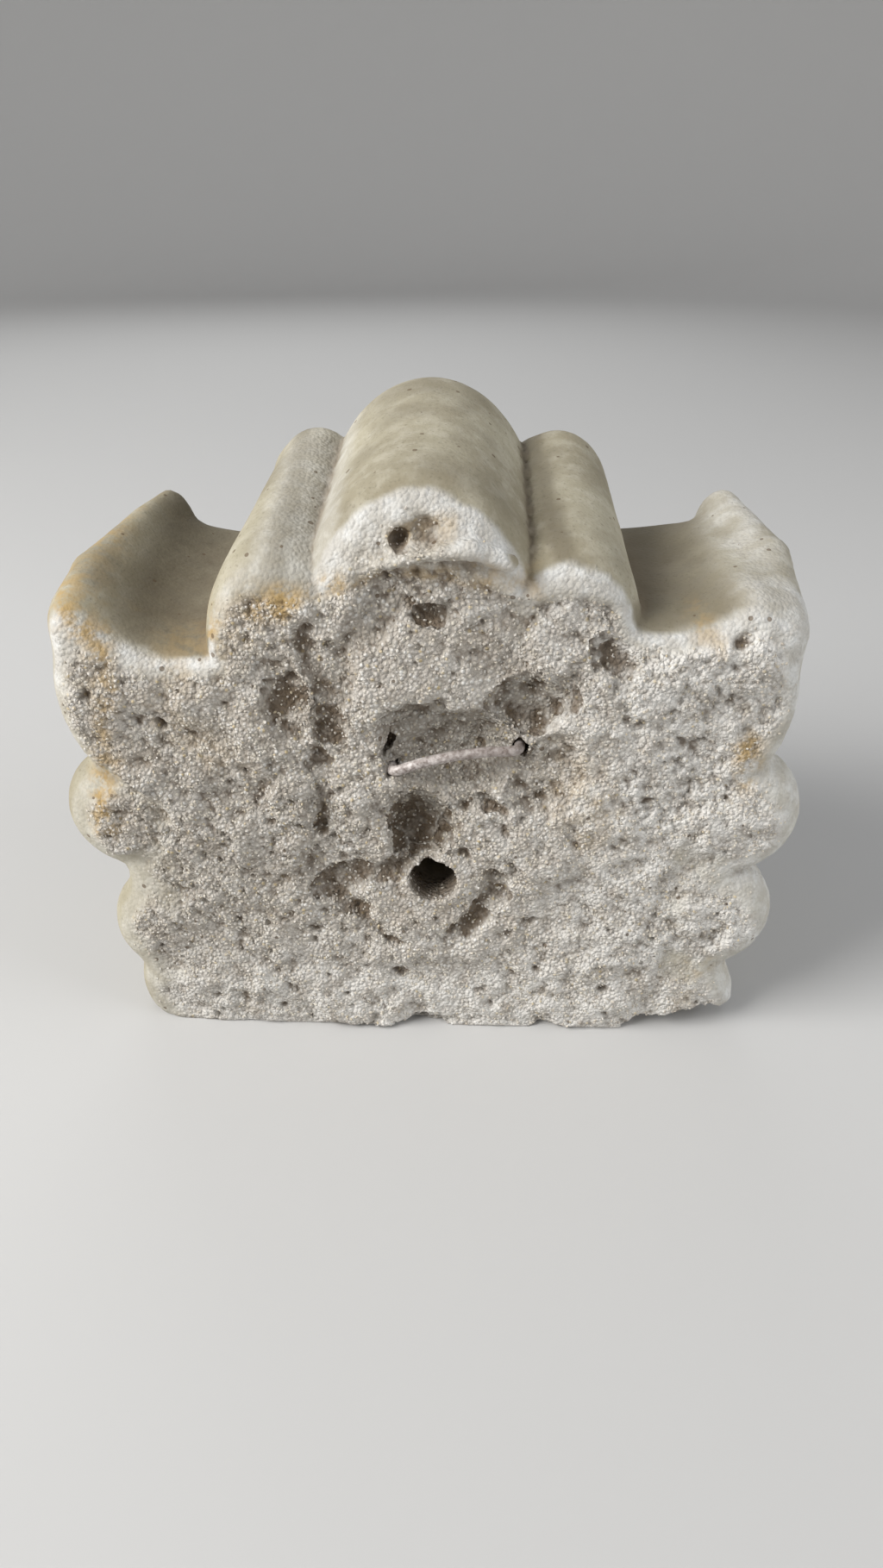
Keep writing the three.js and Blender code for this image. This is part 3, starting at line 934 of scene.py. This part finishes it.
def cast_stone(settings):
    """Sand and cement cast in a mould and weathered outdoors. Its skin is a dull olive grey with fine
    air holes. Its rims are scoured pale, and its broken back shows the sand grains."""
    material, tree = new_material("Weathered cast stone")
    place = add(tree, "ShaderNodeTexCoord").outputs["Object"]
    masks = {
        name: add(tree, "ShaderNodeAttribute", {"attribute_name": name}).outputs["Fac"]
        for name in ("broken", "worn", "ochre", "damp", "pale", "grime")
    }
    # Clouds of damp and dust, stains, blotches, mottle and speckle: width in millimetres, detail, roughness
    clouds, stains, blotches, mottle, lichen, speckle = [
        add(tree, "ShaderNodeTexNoise", None, {
            "Vector": place, "Scale": per_metre(width), "Detail": detail, "Roughness": roughness,
        }) for width, detail, roughness in (
            (42, 3, 0.5), (17, 5, 0.62), (14, 4, 0.6), (6, 5, 0.62), (5, 5, 0.65), (1.1, 3, 0.6),
        )
    ]
    skin = layered(tree, settings.skin, (
        (clouds, 0.36, 0.66, 1, settings.skin_shade),
        (mottle, 0.4, 0.7, 0.35, "c6c0b0"),
        (speckle, 0.54, 0.72, 0.45, "6f6a58"),
        (stains, 0.5, 0.7, 0.45, "8a8069"),
    ))

    # Air holes half a millimetre across, in one place in three, painted dark as painted shade
    holes = add(tree, "ShaderNodeTexVoronoi", None, {"Vector": place, "Scale": 1 / settings.pinholes})
    own = add(tree, "ShaderNodeSeparateColor", None, {0: holes.outputs["Color"]}).outputs
    wide = add(tree, "ShaderNodeMath", MULTIPLY_ADD, {0: own[1], 1: 0.12, 2: 0.05})
    hole = add(tree, "ShaderNodeMath", {"operation": "LESS_THAN"}, {0: holes, 1: wide})
    # Where a hole is open, where the pale stone is palest, and where lichen takes hold
    chosen, rubbed, patches = [
        add(tree, "ShaderNodeMapRange", SMOOTH, {
            "Value": value, "From Min": low, "From Max": high,
        }) for value, low, high in ((own[0], 0.55, 0.6), (mottle, 0.3, 0.6), (lichen, 0.36, 0.6))
    ]
    pinhole = add(tree, "ShaderNodeMath", MULTIPLY, {0: hole, 1: chosen})
    lichened = add(tree, "ShaderNodeMath", MULTIPLY, {0: patches, 1: 0.9})
    # How much of the dirt and painted shade shows, in mottled patches
    dirt_and_shade = add(tree, "ShaderNodeMath", MULTIPLY_ADD, {0: mottle, 1: 0.7, 2: 0.35})

    # Sand grains of about a millimetre, each its own colour, with cement between them
    grains = add(tree, "ShaderNodeTexVoronoi", None, {"Vector": place, "Scale": per_metre(1.25)})
    each = add(tree, "ShaderNodeSeparateColor", None, {0: grains.outputs["Color"]})
    sand = add(tree, "ShaderNodeValToRGB", None, {0: each})
    set_stops(sand.color_ramp, (
        (0.0, "dad4cb"), (0.24, "e9e6e0"), (0.42, "cdc7be"), (0.62, "dfd8ca"), (0.76, "d0c9c0"),
        (0.9, "b7aea2"), (0.96, "d2c09a"),
    ))
    stone = layered(tree, sand, (
        (grains, 0.3, 0.6, 1, settings.matrix),
        (mottle, 0.44, 0.7, 0.45, "e4e0d9"),
        (blotches, 0.46, 0.7, 0.55, "a79c8e"),
    ))
    stone = coated(tree, stone, ((masks["pale"], rubbed, "e8e5df"),))
    scoured = layered(tree, "bebab2", ((mottle, 0.38, 0.68, 1, settings.worn),))
    surface = coated(tree, skin, (
        # Worn rims, with a band of painted light where the left roll meets the crown
        (masks["worn"], 1, scoured),
        (masks["broken"], 1, stone),
        # Dirt, with painted shade in the right ear's trough and the back's hollows
        (masks["damp"], dirt_and_shade, settings.damp),
        (masks["ochre"], lichened, settings.ochre),
        # Painted shade in the air holes
        (pinhole, 0.75, settings.grime),
        # Dirt and painted shade in pits and creases, and painted shade in the bore's mouth
        (masks["grime"], 0.85, settings.grime),
    ))

    # Bump: the grains' crowns and the dust of the matrix, strongest where the stone is broken or worn
    crowns = add(tree, "ShaderNodeMath", MULTIPLY_ADD, {0: grains, 1: -0.9, 2: 0.9})
    rough = add(tree, "ShaderNodeMath", MULTIPLY_ADD, {0: speckle, 1: 0.8, 2: crowns})
    scuffs = add(tree, "ShaderNodeMath", MULTIPLY, {0: masks["worn"], 1: 0.4})
    bare = add(tree, "ShaderNodeMath", {"operation": "MAXIMUM"}, {0: masks["broken"], 1: scuffs})
    strong = add(tree, "ShaderNodeMath", MULTIPLY_ADD, {0: bare, 1: 0.92, 2: 0.08})
    grainy = add(tree, "ShaderNodeMath", MULTIPLY, {0: rough, 1: strong})
    relief = add(tree, "ShaderNodeMath", MULTIPLY_ADD, {0: pinhole, 1: -0.7, 2: grainy})
    bump = add(tree, "ShaderNodeBump", None, {"Strength": 1.0, "Distance": 0.0012, "Height": relief})
    dull = add(tree, "ShaderNodeMath", MULTIPLY_ADD, {0: masks["broken"], 1: 0.12, 2: 0.84})
    shader = add(tree, "ShaderNodeBsdfPrincipled", None, {
        "Base Color": surface, "Roughness": dull, "Normal": bump, "IOR": 1.5, "Specular IOR Level": 0.3,
    })
    add(tree, "ShaderNodeOutputMaterial", None, {"Surface": shader})
    return material


def river_sand():
    """Washed river sand: grains of quartz, chalk and flint, dull from the cement film on them."""
    material, tree = new_material("Washed river sand")
    own = add(tree, "ShaderNodeAttribute", {"attribute_name": "tint"}).outputs["Fac"]
    place = add(tree, "ShaderNodeTexCoord").outputs["Object"]
    body = add(tree, "ShaderNodeValToRGB", None, {0: own})
    set_stops(body.color_ramp, (
        (0.0, "d8d2c9"), (0.2, "eae7e1"), (0.42, "ded7c8"), (0.58, "cac4bb"), (0.76, "d2cabb"),
        (0.9, "b5ab9f"), (0.96, "d4c39f"),
    ))
    film = add(tree, "ShaderNodeTexNoise", None, {"Vector": place, "Scale": per_metre(0.8), "Detail": 2.0})
    dusted = coated(tree, body, ((film, 0.9, "b3aa9b"),))
    shader = add(tree, "ShaderNodeBsdfPrincipled", None, {
        "Base Color": dusted, "Roughness": 0.75, "IOR": 1.5, "Specular IOR Level": 0.4,
    })
    add(tree, "ShaderNodeOutputMaterial", None, {"Surface": shader})
    return material


def rusted_steel(settings):
    """Soft steel wire under closed brown rust, rubbed and dusty where it has been handled."""
    material, tree = new_material("Rusted steel wire")
    place = add(tree, "ShaderNodeTexCoord").outputs["Object"]
    scale = add(tree, "ShaderNodeTexNoise", None, {
        "Vector": place, "Scale": per_metre(1.6), "Detail": 5.0, "Roughness": 0.65,
    })
    side = add(tree, "ShaderNodeSeparateXYZ", None, {0: place})
    # Rubbed more towards the gargoyle's left, and in patches
    rubbed, patches = [
        add(tree, "ShaderNodeMapRange", SMOOTH, {
            "Value": value, "From Min": low, "From Max": high,
        }) for value, low, high in ((side, -0.022, 0.01), (scale, 0.76, 0.3))
    ]
    share = add(tree, "ShaderNodeMath", MULTIPLY_ADD, {0: rubbed, 1: 0.5, 2: 0.6})
    rust = coated(tree, settings.rust, ((share, patches, settings.bare),))
    bump = add(tree, "ShaderNodeBump", None, {"Strength": 0.7, "Distance": 0.0002, "Height": scale})
    shader = add(tree, "ShaderNodeBsdfPrincipled", None, {
        "Base Color": rust, "Metallic": 0.1, "Roughness": 0.45, "Normal": bump,
    })
    add(tree, "ShaderNodeOutputMaterial", None, {"Surface": shader})
    return material


def matt_paint(settings):
    """Matt emulsion on a smooth board: one pale colour with hardly any sheen."""
    material, tree = new_material("Matt pale paint")
    place = add(tree, "ShaderNodeTexCoord").outputs["Object"]
    cloud = add(tree, "ShaderNodeTexNoise", None, {"Vector": place, "Scale": per_metre(400), "Detail": 2.0})
    tone = coated(tree, settings.floor, ((cloud, 0.15, "b9b8b6"),))
    shader = add(tree, "ShaderNodeBsdfPrincipled", None, {
        "Base Color": tone, "Roughness": 0.85, "Specular IOR Level": 0.2,
    })
    add(tree, "ShaderNodeOutputMaterial", None, {"Surface": shader})
    return material


def show(name, mesh):
    """A new object in the scene, at the origin."""
    piece = bpy.data.objects.new(name, mesh)
    bpy.context.scene.collection.objects.link(piece)
    return piece


def made_plain(piece, name):
    """The piece with its nodes worked out, as a plain mesh with nothing live on it."""
    view = bpy.context.evaluated_depsgraph_get()
    view.update()
    mesh = bpy.data.meshes.new_from_object(piece.evaluated_get(view), depsgraph=view)
    bpy.data.objects.remove(piece)
    mesh.name = name
    return show(name, mesh)


def to_row(places, settings):
    """Places of the carving, in metres in the row's frame."""
    share = settings.height / 100
    return places * share + np.array((MIDDLE, HEAD_HIGH.y, 0))


# The grid that the head is carved on: its half-width, its reach forward, and its margin elsewhere
GRID_SIDE = 59.5
GRID_FRONT = 74
GRID_MARGIN = 1.5
# Parts that the grid is worked out in, to save memory
GRID_PARTS = 12
# Rounds of smoothing that tell pits, and wider creases, from what lies round them
PIT_ROUNDS = 3
CREASE_ROUNDS = 24


class GARGOYLE_OT_carve_head(bpy.types.Operator):
    """Carves the stone head, with its weathered skin and its broken back"""

    bl_idname = "gargoyle.carve_head"
    bl_label = "Carve Stone Head"

    def execute(self, context):
        settings = context.scene.gargoyle_head
        wire = context.scene.gargoyle_wire
        share = settings.height / 100
        pitch = settings.cell / share
        moulded = moulded_form()
        form = weathered(moulded, settings, wire)
        low = at(-GRID_SIDE, GRID_FRONT, -GRID_MARGIN)
        high = at(GRID_SIDE, -GRID_MARGIN, 100 + GRID_MARGIN)
        counts = np.ceil((high - low) / pitch).astype(int) + 1
        steps = [low[n] + pitch * np.arange(counts[n]) for n in range(3)]
        grid = np.stack(np.meshgrid(*steps, indexing="ij"), -1).reshape(-1, 3).astype(np.float32)
        value = np.concatenate([form(part) for part in np.array_split(grid, GRID_PARTS)]).reshape(counts)
        places, faces = skin_of(value, low, pitch)
        mesh = bpy.data.meshes.new("gargoyle_stone")
        mesh.from_pydata(places.tolist(), [], faces.tolist())
        places = refine(mesh, form, pitch)
        normal, _ = slopes(form, places, 0.3)
        zones = zones_of(places, normal, moulded)
        broken = zones["broken"]
        height = relief_of(places, normal, broken, zones["worn"], settings.crumbs / share)
        places = places + normal * height[:, None]
        places[:, 2] = np.maximum(places[:, 2], 0)
        edges = np.empty(len(mesh.edges) * 2, np.int64)
        mesh.edges.foreach_get("vertices", edges)
        edges = edges.reshape(-1, 2)
        # Grime: dirt and painted shade, darkening pits and creases
        pit = ease(0.0, 0.26, hollowness(places, normal, edges, PIT_ROUNDS))
        crease = ease(0.1, 0.9, hollowness(places, normal, edges, CREASE_ROUNDS))
        grime = 0.45 * pit * (0.3 + 0.7 * broken) + 0.55 * crease
        # Painted shade inside the mouth of the bore
        from_bore = np.hypot(places[:, 0] - BORE_PLACE[0], places[:, 2] - BORE_PLACE[1])
        shaded = 0.7 * ease(-0.6, -3, places[:, 1]) * (from_bore < 4)
        zones["grime"] = np.clip(np.maximum(grime, shaded), 0, 1)
        mesh.vertices.foreach_set("co", to_row(places, settings).astype(np.float32).ravel())
        for name, values in zones.items():
            layer = mesh.attributes.new(name, "FLOAT", "POINT")
            layer.data.foreach_set("value", values.astype(np.float32))
        mesh.shade_smooth()
        mesh.validate()
        mesh.update()
        if len(mesh.polygons) < 1000:
            raise RuntimeError("the head has no surface")
        piece = show("gargoyle_stone", mesh)
        mesh.materials.append(cast_stone(settings))
        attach(piece, "root")
        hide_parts("gargoyle_head")
        return {"FINISHED"}


def new_tree(name, start, numbers):
    """A node tree that takes geometry and some numbers and gives geometry. Gives the tree and its inputs."""
    tree = bpy.data.node_groups.new(name, "GeometryNodeTree")
    tree.interface.new_socket(start, in_out="INPUT", socket_type="NodeSocketGeometry")
    for label, kind in numbers:
        tree.interface.new_socket(label, in_out="INPUT", socket_type="NodeSocket" + kind)
    tree.interface.new_socket("Result", in_out="OUTPUT", socket_type="NodeSocketGeometry")
    return tree, add(tree, "NodeGroupInput").outputs


def finish_tree(tree, pieces, material):
    """Ends a tree: its copies are made real, and the material is put on them."""
    real = add(tree, "GeometryNodeRealizeInstances", None, {0: pieces})
    finished = add(tree, "GeometryNodeSetMaterial", None, {"Geometry": real, "Material": material})
    add(tree, "NodeGroupOutput", None, {0: finished})
    return tree


def sand_tree(material):
    """Nodes that strew small angular grains where the attribute named broken is high."""
    numbers = (("Grain", "Float"), ("Density", "Float"), ("Seed", "Int"))
    tree, given = new_tree("Strewn sand", "Stone", numbers)
    broken = add(tree, "GeometryNodeInputNamedAttribute", {"data_type": "FLOAT"}, {"Name": "broken"})
    patches = add(tree, "ShaderNodeTexNoise", None, {"Scale": per_metre(16), "Detail": 2.0})
    thick = add(tree, "ShaderNodeMapRange", None, {
        "Value": patches, "From Min": 0.38, "From Max": 0.62, "To Min": 0.35, "To Max": 1.3,
    })
    # No grain is strewn on the edge that the head stands on
    place = add(tree, "ShaderNodeSeparateXYZ", None, {0: add(tree, "GeometryNodeInputPosition")})
    clear = add(tree, "ShaderNodeMath", {"operation": "GREATER_THAN"}, {0: place.outputs["Z"], 1: 0.0015})
    density = broken.outputs["Attribute"]
    for share in (clear, thick, given["Density"]):
        density = add(tree, "ShaderNodeMath", MULTIPLY, {0: density, 1: share})
    spread = add(tree, "GeometryNodeDistributePointsOnFaces", {"distribute_method": "RANDOM"}, {
        "Mesh": given["Stone"], "Density": density, "Seed": given["Seed"],
    })
    radius = add(tree, "ShaderNodeMath", MULTIPLY, {0: given["Grain"], 1: 0.5})
    grain = add(tree, "GeometryNodeMeshIcoSphere", None, {"Radius": radius, "Subdivisions": 1})
    # Each grain is turned any way, and is larger or smaller along each axis
    turn, sizes = [
        add(tree, "FunctionNodeRandomValue", VECTORS, {0: low, 1: high, "Seed": seed})
        for low, high, seed in (
            ((0.0, 0.0, 0.0), (6.28, 6.28, 6.28), 3),
            ((0.4, 0.4, 0.35), (1.3, 1.15, 0.95), 4),
        )
    ]
    placed = add(tree, "GeometryNodeInstanceOnPoints", None, {
        "Points": spread, "Instance": grain, "Rotation": turn, "Scale": sizes,
    })
    tint = add(tree, "FunctionNodeRandomValue", {"data_type": "FLOAT"}, {2: 0.0, 3: 1.0, "Seed": 5})
    stored = add(tree, "GeometryNodeStoreNamedAttribute", {"data_type": "FLOAT", "domain": "INSTANCE"}, {
        "Geometry": placed, "Name": "tint", "Value": tint.outputs[1],
    })
    return finish_tree(tree, stored, material)


def run_nodes(piece, tree, values):
    """Puts the nodes on the piece as a modifier, with its inputs set."""
    modifier = piece.modifiers.new("Nodes", "NODES")
    modifier.node_group = tree
    for socket in tree.interface.items_tree:
        if socket.in_out == "INPUT" and socket.name in values:
            modifier[socket.identifier] = values[socket.name]


class GARGOYLE_OT_strew_sand(bpy.types.Operator):
    """Strews the sand grains that stand proud of the broken back"""

    bl_idname = "gargoyle.strew_sand"
    bl_label = "Strew Sand Grains"

    def execute(self, context):
        settings = context.scene.gargoyle_sand
        stone = context.scene.objects.get("gargoyle_stone")
        if stone is None:
            raise RuntimeError("carve the stone head first")
        bearer = show("sand_bearer", stone.data.copy())
        bearer.data.materials.clear()
        values = {"Grain": settings.size, "Density": settings.density, "Seed": settings.seed}
        run_nodes(bearer, sand_tree(river_sand()), values)
        piece = made_plain(bearer, "exposed_sand")
        if not piece.data.polygons:
            raise RuntimeError("no sand grain was made")
        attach(piece, "root")
        return {"FINISHED"}


def wire_tree(material):
    """Nodes that round a bent line's corners and run a pitted tube along it."""
    numbers = (("Diameter", "Float"), ("Bend", "Float"), ("Pitting", "Float"))
    tree, given = new_tree("Bent wire", "Line", numbers)
    curve = add(tree, "GeometryNodeMeshToCurve", None, {"Mesh": given["Line"]})
    rounded = add(tree, "GeometryNodeFilletCurve", {"mode": "POLY"}, {
        "Curve": curve, "Count": 8, "Radius": given["Bend"], "Limit Radius": True,
    })
    even = add(tree, "GeometryNodeResampleCurve", {"mode": "LENGTH"}, {"Curve": rounded, "Length": 0.0007})
    radius = add(tree, "ShaderNodeMath", MULTIPLY, {0: given["Diameter"], 1: 0.5})
    ring = add(tree, "GeometryNodeCurvePrimitiveCircle", None, {"Resolution": 20, "Radius": radius})
    tube = add(tree, "GeometryNodeCurveToMesh", None, {
        "Curve": even, "Profile Curve": ring, "Fill Caps": True,
    })
    lumps = add(tree, "ShaderNodeTexNoise", None, {"Scale": per_metre(2.2), "Detail": 3.0})
    height = add(tree, "ShaderNodeMath", {"operation": "SUBTRACT"}, {0: lumps, 1: 0.5})
    pitted = add(tree, "ShaderNodeMath", MULTIPLY, {0: height, 1: given["Pitting"]})
    outward = add(tree, "GeometryNodeInputNormal")
    offset = add(tree, "ShaderNodeVectorMath", {"operation": "SCALE"}, {0: outward, "Scale": pitted})
    moved = add(tree, "GeometryNodeSetPosition", None, {"Geometry": tube, "Offset": offset})
    smooth = add(tree, "GeometryNodeSetShadeSmooth", None, {"Geometry": moved})
    return finish_tree(tree, smooth, material)


# Height of the lumps and pits on the wire, in metres
PITTING = 0.00014


class GARGOYLE_OT_bend_wire(bpy.types.Operator):
    """Bends the rusted wire loop and stands its legs in the back"""

    bl_idname = "gargoyle.bend_wire"
    bl_label = "Bend Hanging Wire"

    def execute(self, context):
        settings = context.scene.gargoyle_wire
        head = context.scene.gargoyle_head
        share = head.height / 100
        middle = np.array((HOOK_PLACE[0] * share, 0, HOOK_PLACE[1] * share))
        across = np.array((math.cos(settings.tilt), 0, -math.sin(settings.tilt))) * settings.span / 2
        deep = np.array((0, -(settings.sink + settings.diameter / 2), 0))
        foot = np.array((0, -settings.legs, 0))
        start, end = middle + across, middle - across
        top = middle + np.array((0, 0, 2 * settings.arch))
        line = [start + foot, start + deep]
        for t in (0.25, 0.5, 0.75):
            line.append((1 - t) ** 2 * start + 2 * t * (1 - t) * top + t * t * end + deep)
        line += [end + deep, end + foot]
        line = [Vector(p) + Vector((MIDDLE, HEAD_HIGH.y, 0)) for p in line]
        mesh = bpy.data.meshes.new("wire_line")
        mesh.from_pydata(line, [(n, n + 1) for n in range(len(line) - 1)], [])
        values = {"Diameter": settings.diameter, "Bend": settings.bend, "Pitting": PITTING}
        bearer = show("wire_line", mesh)
        run_nodes(bearer, wire_tree(rusted_steel(settings)), values)
        piece = made_plain(bearer, "rusted_wire_loop")
        if not piece.data.polygons:
            raise RuntimeError("the wire has no surface")
        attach(piece, "root")
        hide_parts("hanging_wire")
        return {"FINISHED"}


# Each soft light: its name, its place, its width, the setting for its power, and its tint
LIGHTS = (
    ("window", (1.22, 0.62, 1.07), 1.0, "key", (1.0, 0.995, 0.985)),
    ("far_fill", (-1.4, 0.4, 0.6), 1.0, "fill", (0.93, 0.96, 1.0)),
    ("front_fill", (0.3, -1.4, 0.9), 1.2, "face", (0.96, 0.98, 1.0)),
)
LIGHTS_HEIGHT = 1.0
LIGHTS_AIM = Vector((0, 0.03, 0.1))
SKY_TINT = (0.93, 0.95, 1.0)
# The photograph's own view: from behind and above, turned a little to one side
CAMERA_PLACE = (MIDDLE - 0.0133, HEAD_HIGH.y + 0.27815, 0.2666)
CAMERA_DOWN = math.radians(31)
CAMERA_TURN = math.radians(1.6)


def soft_light(name, place, width, power, tint):
    data = bpy.data.lights.new(name, "AREA")
    data.shape = "RECTANGLE"
    data.size = width
    data.size_y = LIGHTS_HEIGHT
    data.energy = power
    data.color = tint
    lamp = bpy.data.objects.new(name, data)
    lamp.location = place
    lamp.rotation_euler = (LIGHTS_AIM - Vector(place)).to_track_quat("-Z", "Y").to_euler()
    bpy.context.scene.collection.objects.link(lamp)


def bowl(radius, bend, height, sides=96, steps=12):
    """A round floor that curves up into a wall all round."""
    profile = [(0.35 * radius, 0), (0.7 * radius, 0)]
    for n in range(steps + 1):
        turn = math.radians(90 * n / steps)
        profile.append((radius - bend + bend * math.sin(turn), bend - bend * math.cos(turn)))
    profile.append((radius, height))
    turns = [2 * math.pi * n / sides for n in range(sides)]
    places = [(reach * math.cos(a), reach * math.sin(a), rise) for reach, rise in profile for a in turns]
    faces = [tuple(range(sides))]
    for first in range(0, sides * (len(profile) - 1), sides):
        for n in range(sides):
            a, b = first + n, first + (n + 1) % sides
            faces.append((a, a + sides, b + sides, b))
    mesh = bpy.data.meshes.new("studio_floor")
    mesh.from_pydata(places, [], faces)
    mesh.shade_smooth()
    return mesh


class GARGOYLE_OT_set_stage(bpy.types.Operator):
    """Lays the floor, hangs the lights and sets up the camera"""

    bl_idname = "gargoyle.set_stage"
    bl_label = "Set the Stage"

    def execute(self, context):
        scene = context.scene
        settings = scene.gargoyle_stage
        floor = show("studio_floor", bowl(radius=2.6, bend=0.7, height=2.2))
        floor.data.materials.append(matt_paint(settings))
        for name, place, width, power, tint in LIGHTS:
            soft_light(name, place, width, getattr(settings, power), tint)
        world = bpy.data.worlds.new("pale_room")
        world.use_nodes = True
        sky = world.node_tree.nodes["Background"]
        sky.inputs["Color"].default_value = tint_of(SKY_TINT)
        sky.inputs["Strength"].default_value = settings.sky
        scene.world = world
        scene.view_settings.view_transform = "Standard"

        camera_data = bpy.data.cameras.new("photo_view")
        camera_data.sensor_fit = "AUTO"
        camera_data.sensor_width = 36
        camera_data.lens = settings.focal
        camera_data.clip_start = 0.01
        camera = bpy.data.objects.new("photo_view", camera_data)
        scene.collection.objects.link(camera)
        camera.location = CAMERA_PLACE
        level = math.cos(CAMERA_DOWN)
        forward = Vector((
            math.sin(CAMERA_TURN) * level, -math.cos(CAMERA_TURN) * level, -math.sin(CAMERA_DOWN)
        ))
        camera.rotation_euler = forward.to_track_quat("-Z", "Y").to_euler()
        scene.camera = camera
        return {"FINISHED"}


class GARGOYLE_PT_panel(bpy.types.Panel):
    """Lists the pieces and their sizes in the sidebar"""

    bl_label = "Stone Gargoyle"
    bl_idname = "GARGOYLE_PT_panel"
    bl_space_type = "VIEW_3D"
    bl_region_type = "UI"
    bl_category = "Gargoyle"

    def draw(self, context):
        for operator, group in STEPS:
            box = self.layout.box()
            box.operator(operator)
            settings = getattr(context.scene, group)
            for name in settings.__annotations__:
                box.prop(settings, name)


GROUPS = {
    "gargoyle_head": HeadSettings,
    "gargoyle_sand": SandSettings,
    "gargoyle_wire": WireSettings,
    "gargoyle_stage": StageSettings,
}
STEPS = (
    ("gargoyle.carve_head", "gargoyle_head"),
    ("gargoyle.strew_sand", "gargoyle_sand"),
    ("gargoyle.bend_wire", "gargoyle_wire"),
    ("gargoyle.set_stage", "gargoyle_stage"),
)
CLASSES = (
    *GROUPS.values(),
    GARGOYLE_OT_carve_head,
    GARGOYLE_OT_strew_sand,
    GARGOYLE_OT_bend_wire,
    GARGOYLE_OT_set_stage,
    GARGOYLE_PT_panel,
)


def register():
    for cls in CLASSES:
        bpy.utils.register_class(cls)
    for name, group in GROUPS.items():
        setattr(bpy.types.Scene, name, PointerProperty(type=group))


def unregister():
    for name in GROUPS:
        delattr(bpy.types.Scene, name)
    for cls in reversed(CLASSES):
        bpy.utils.unregister_class(cls)


def main():
    register()
    bpy.ops.gargoyle.carve_head()
    bpy.ops.gargoyle.strew_sand()
    bpy.ops.gargoyle.bend_wire()
    bpy.ops.gargoyle.set_stage()


if __name__ == "__main__":
    main()
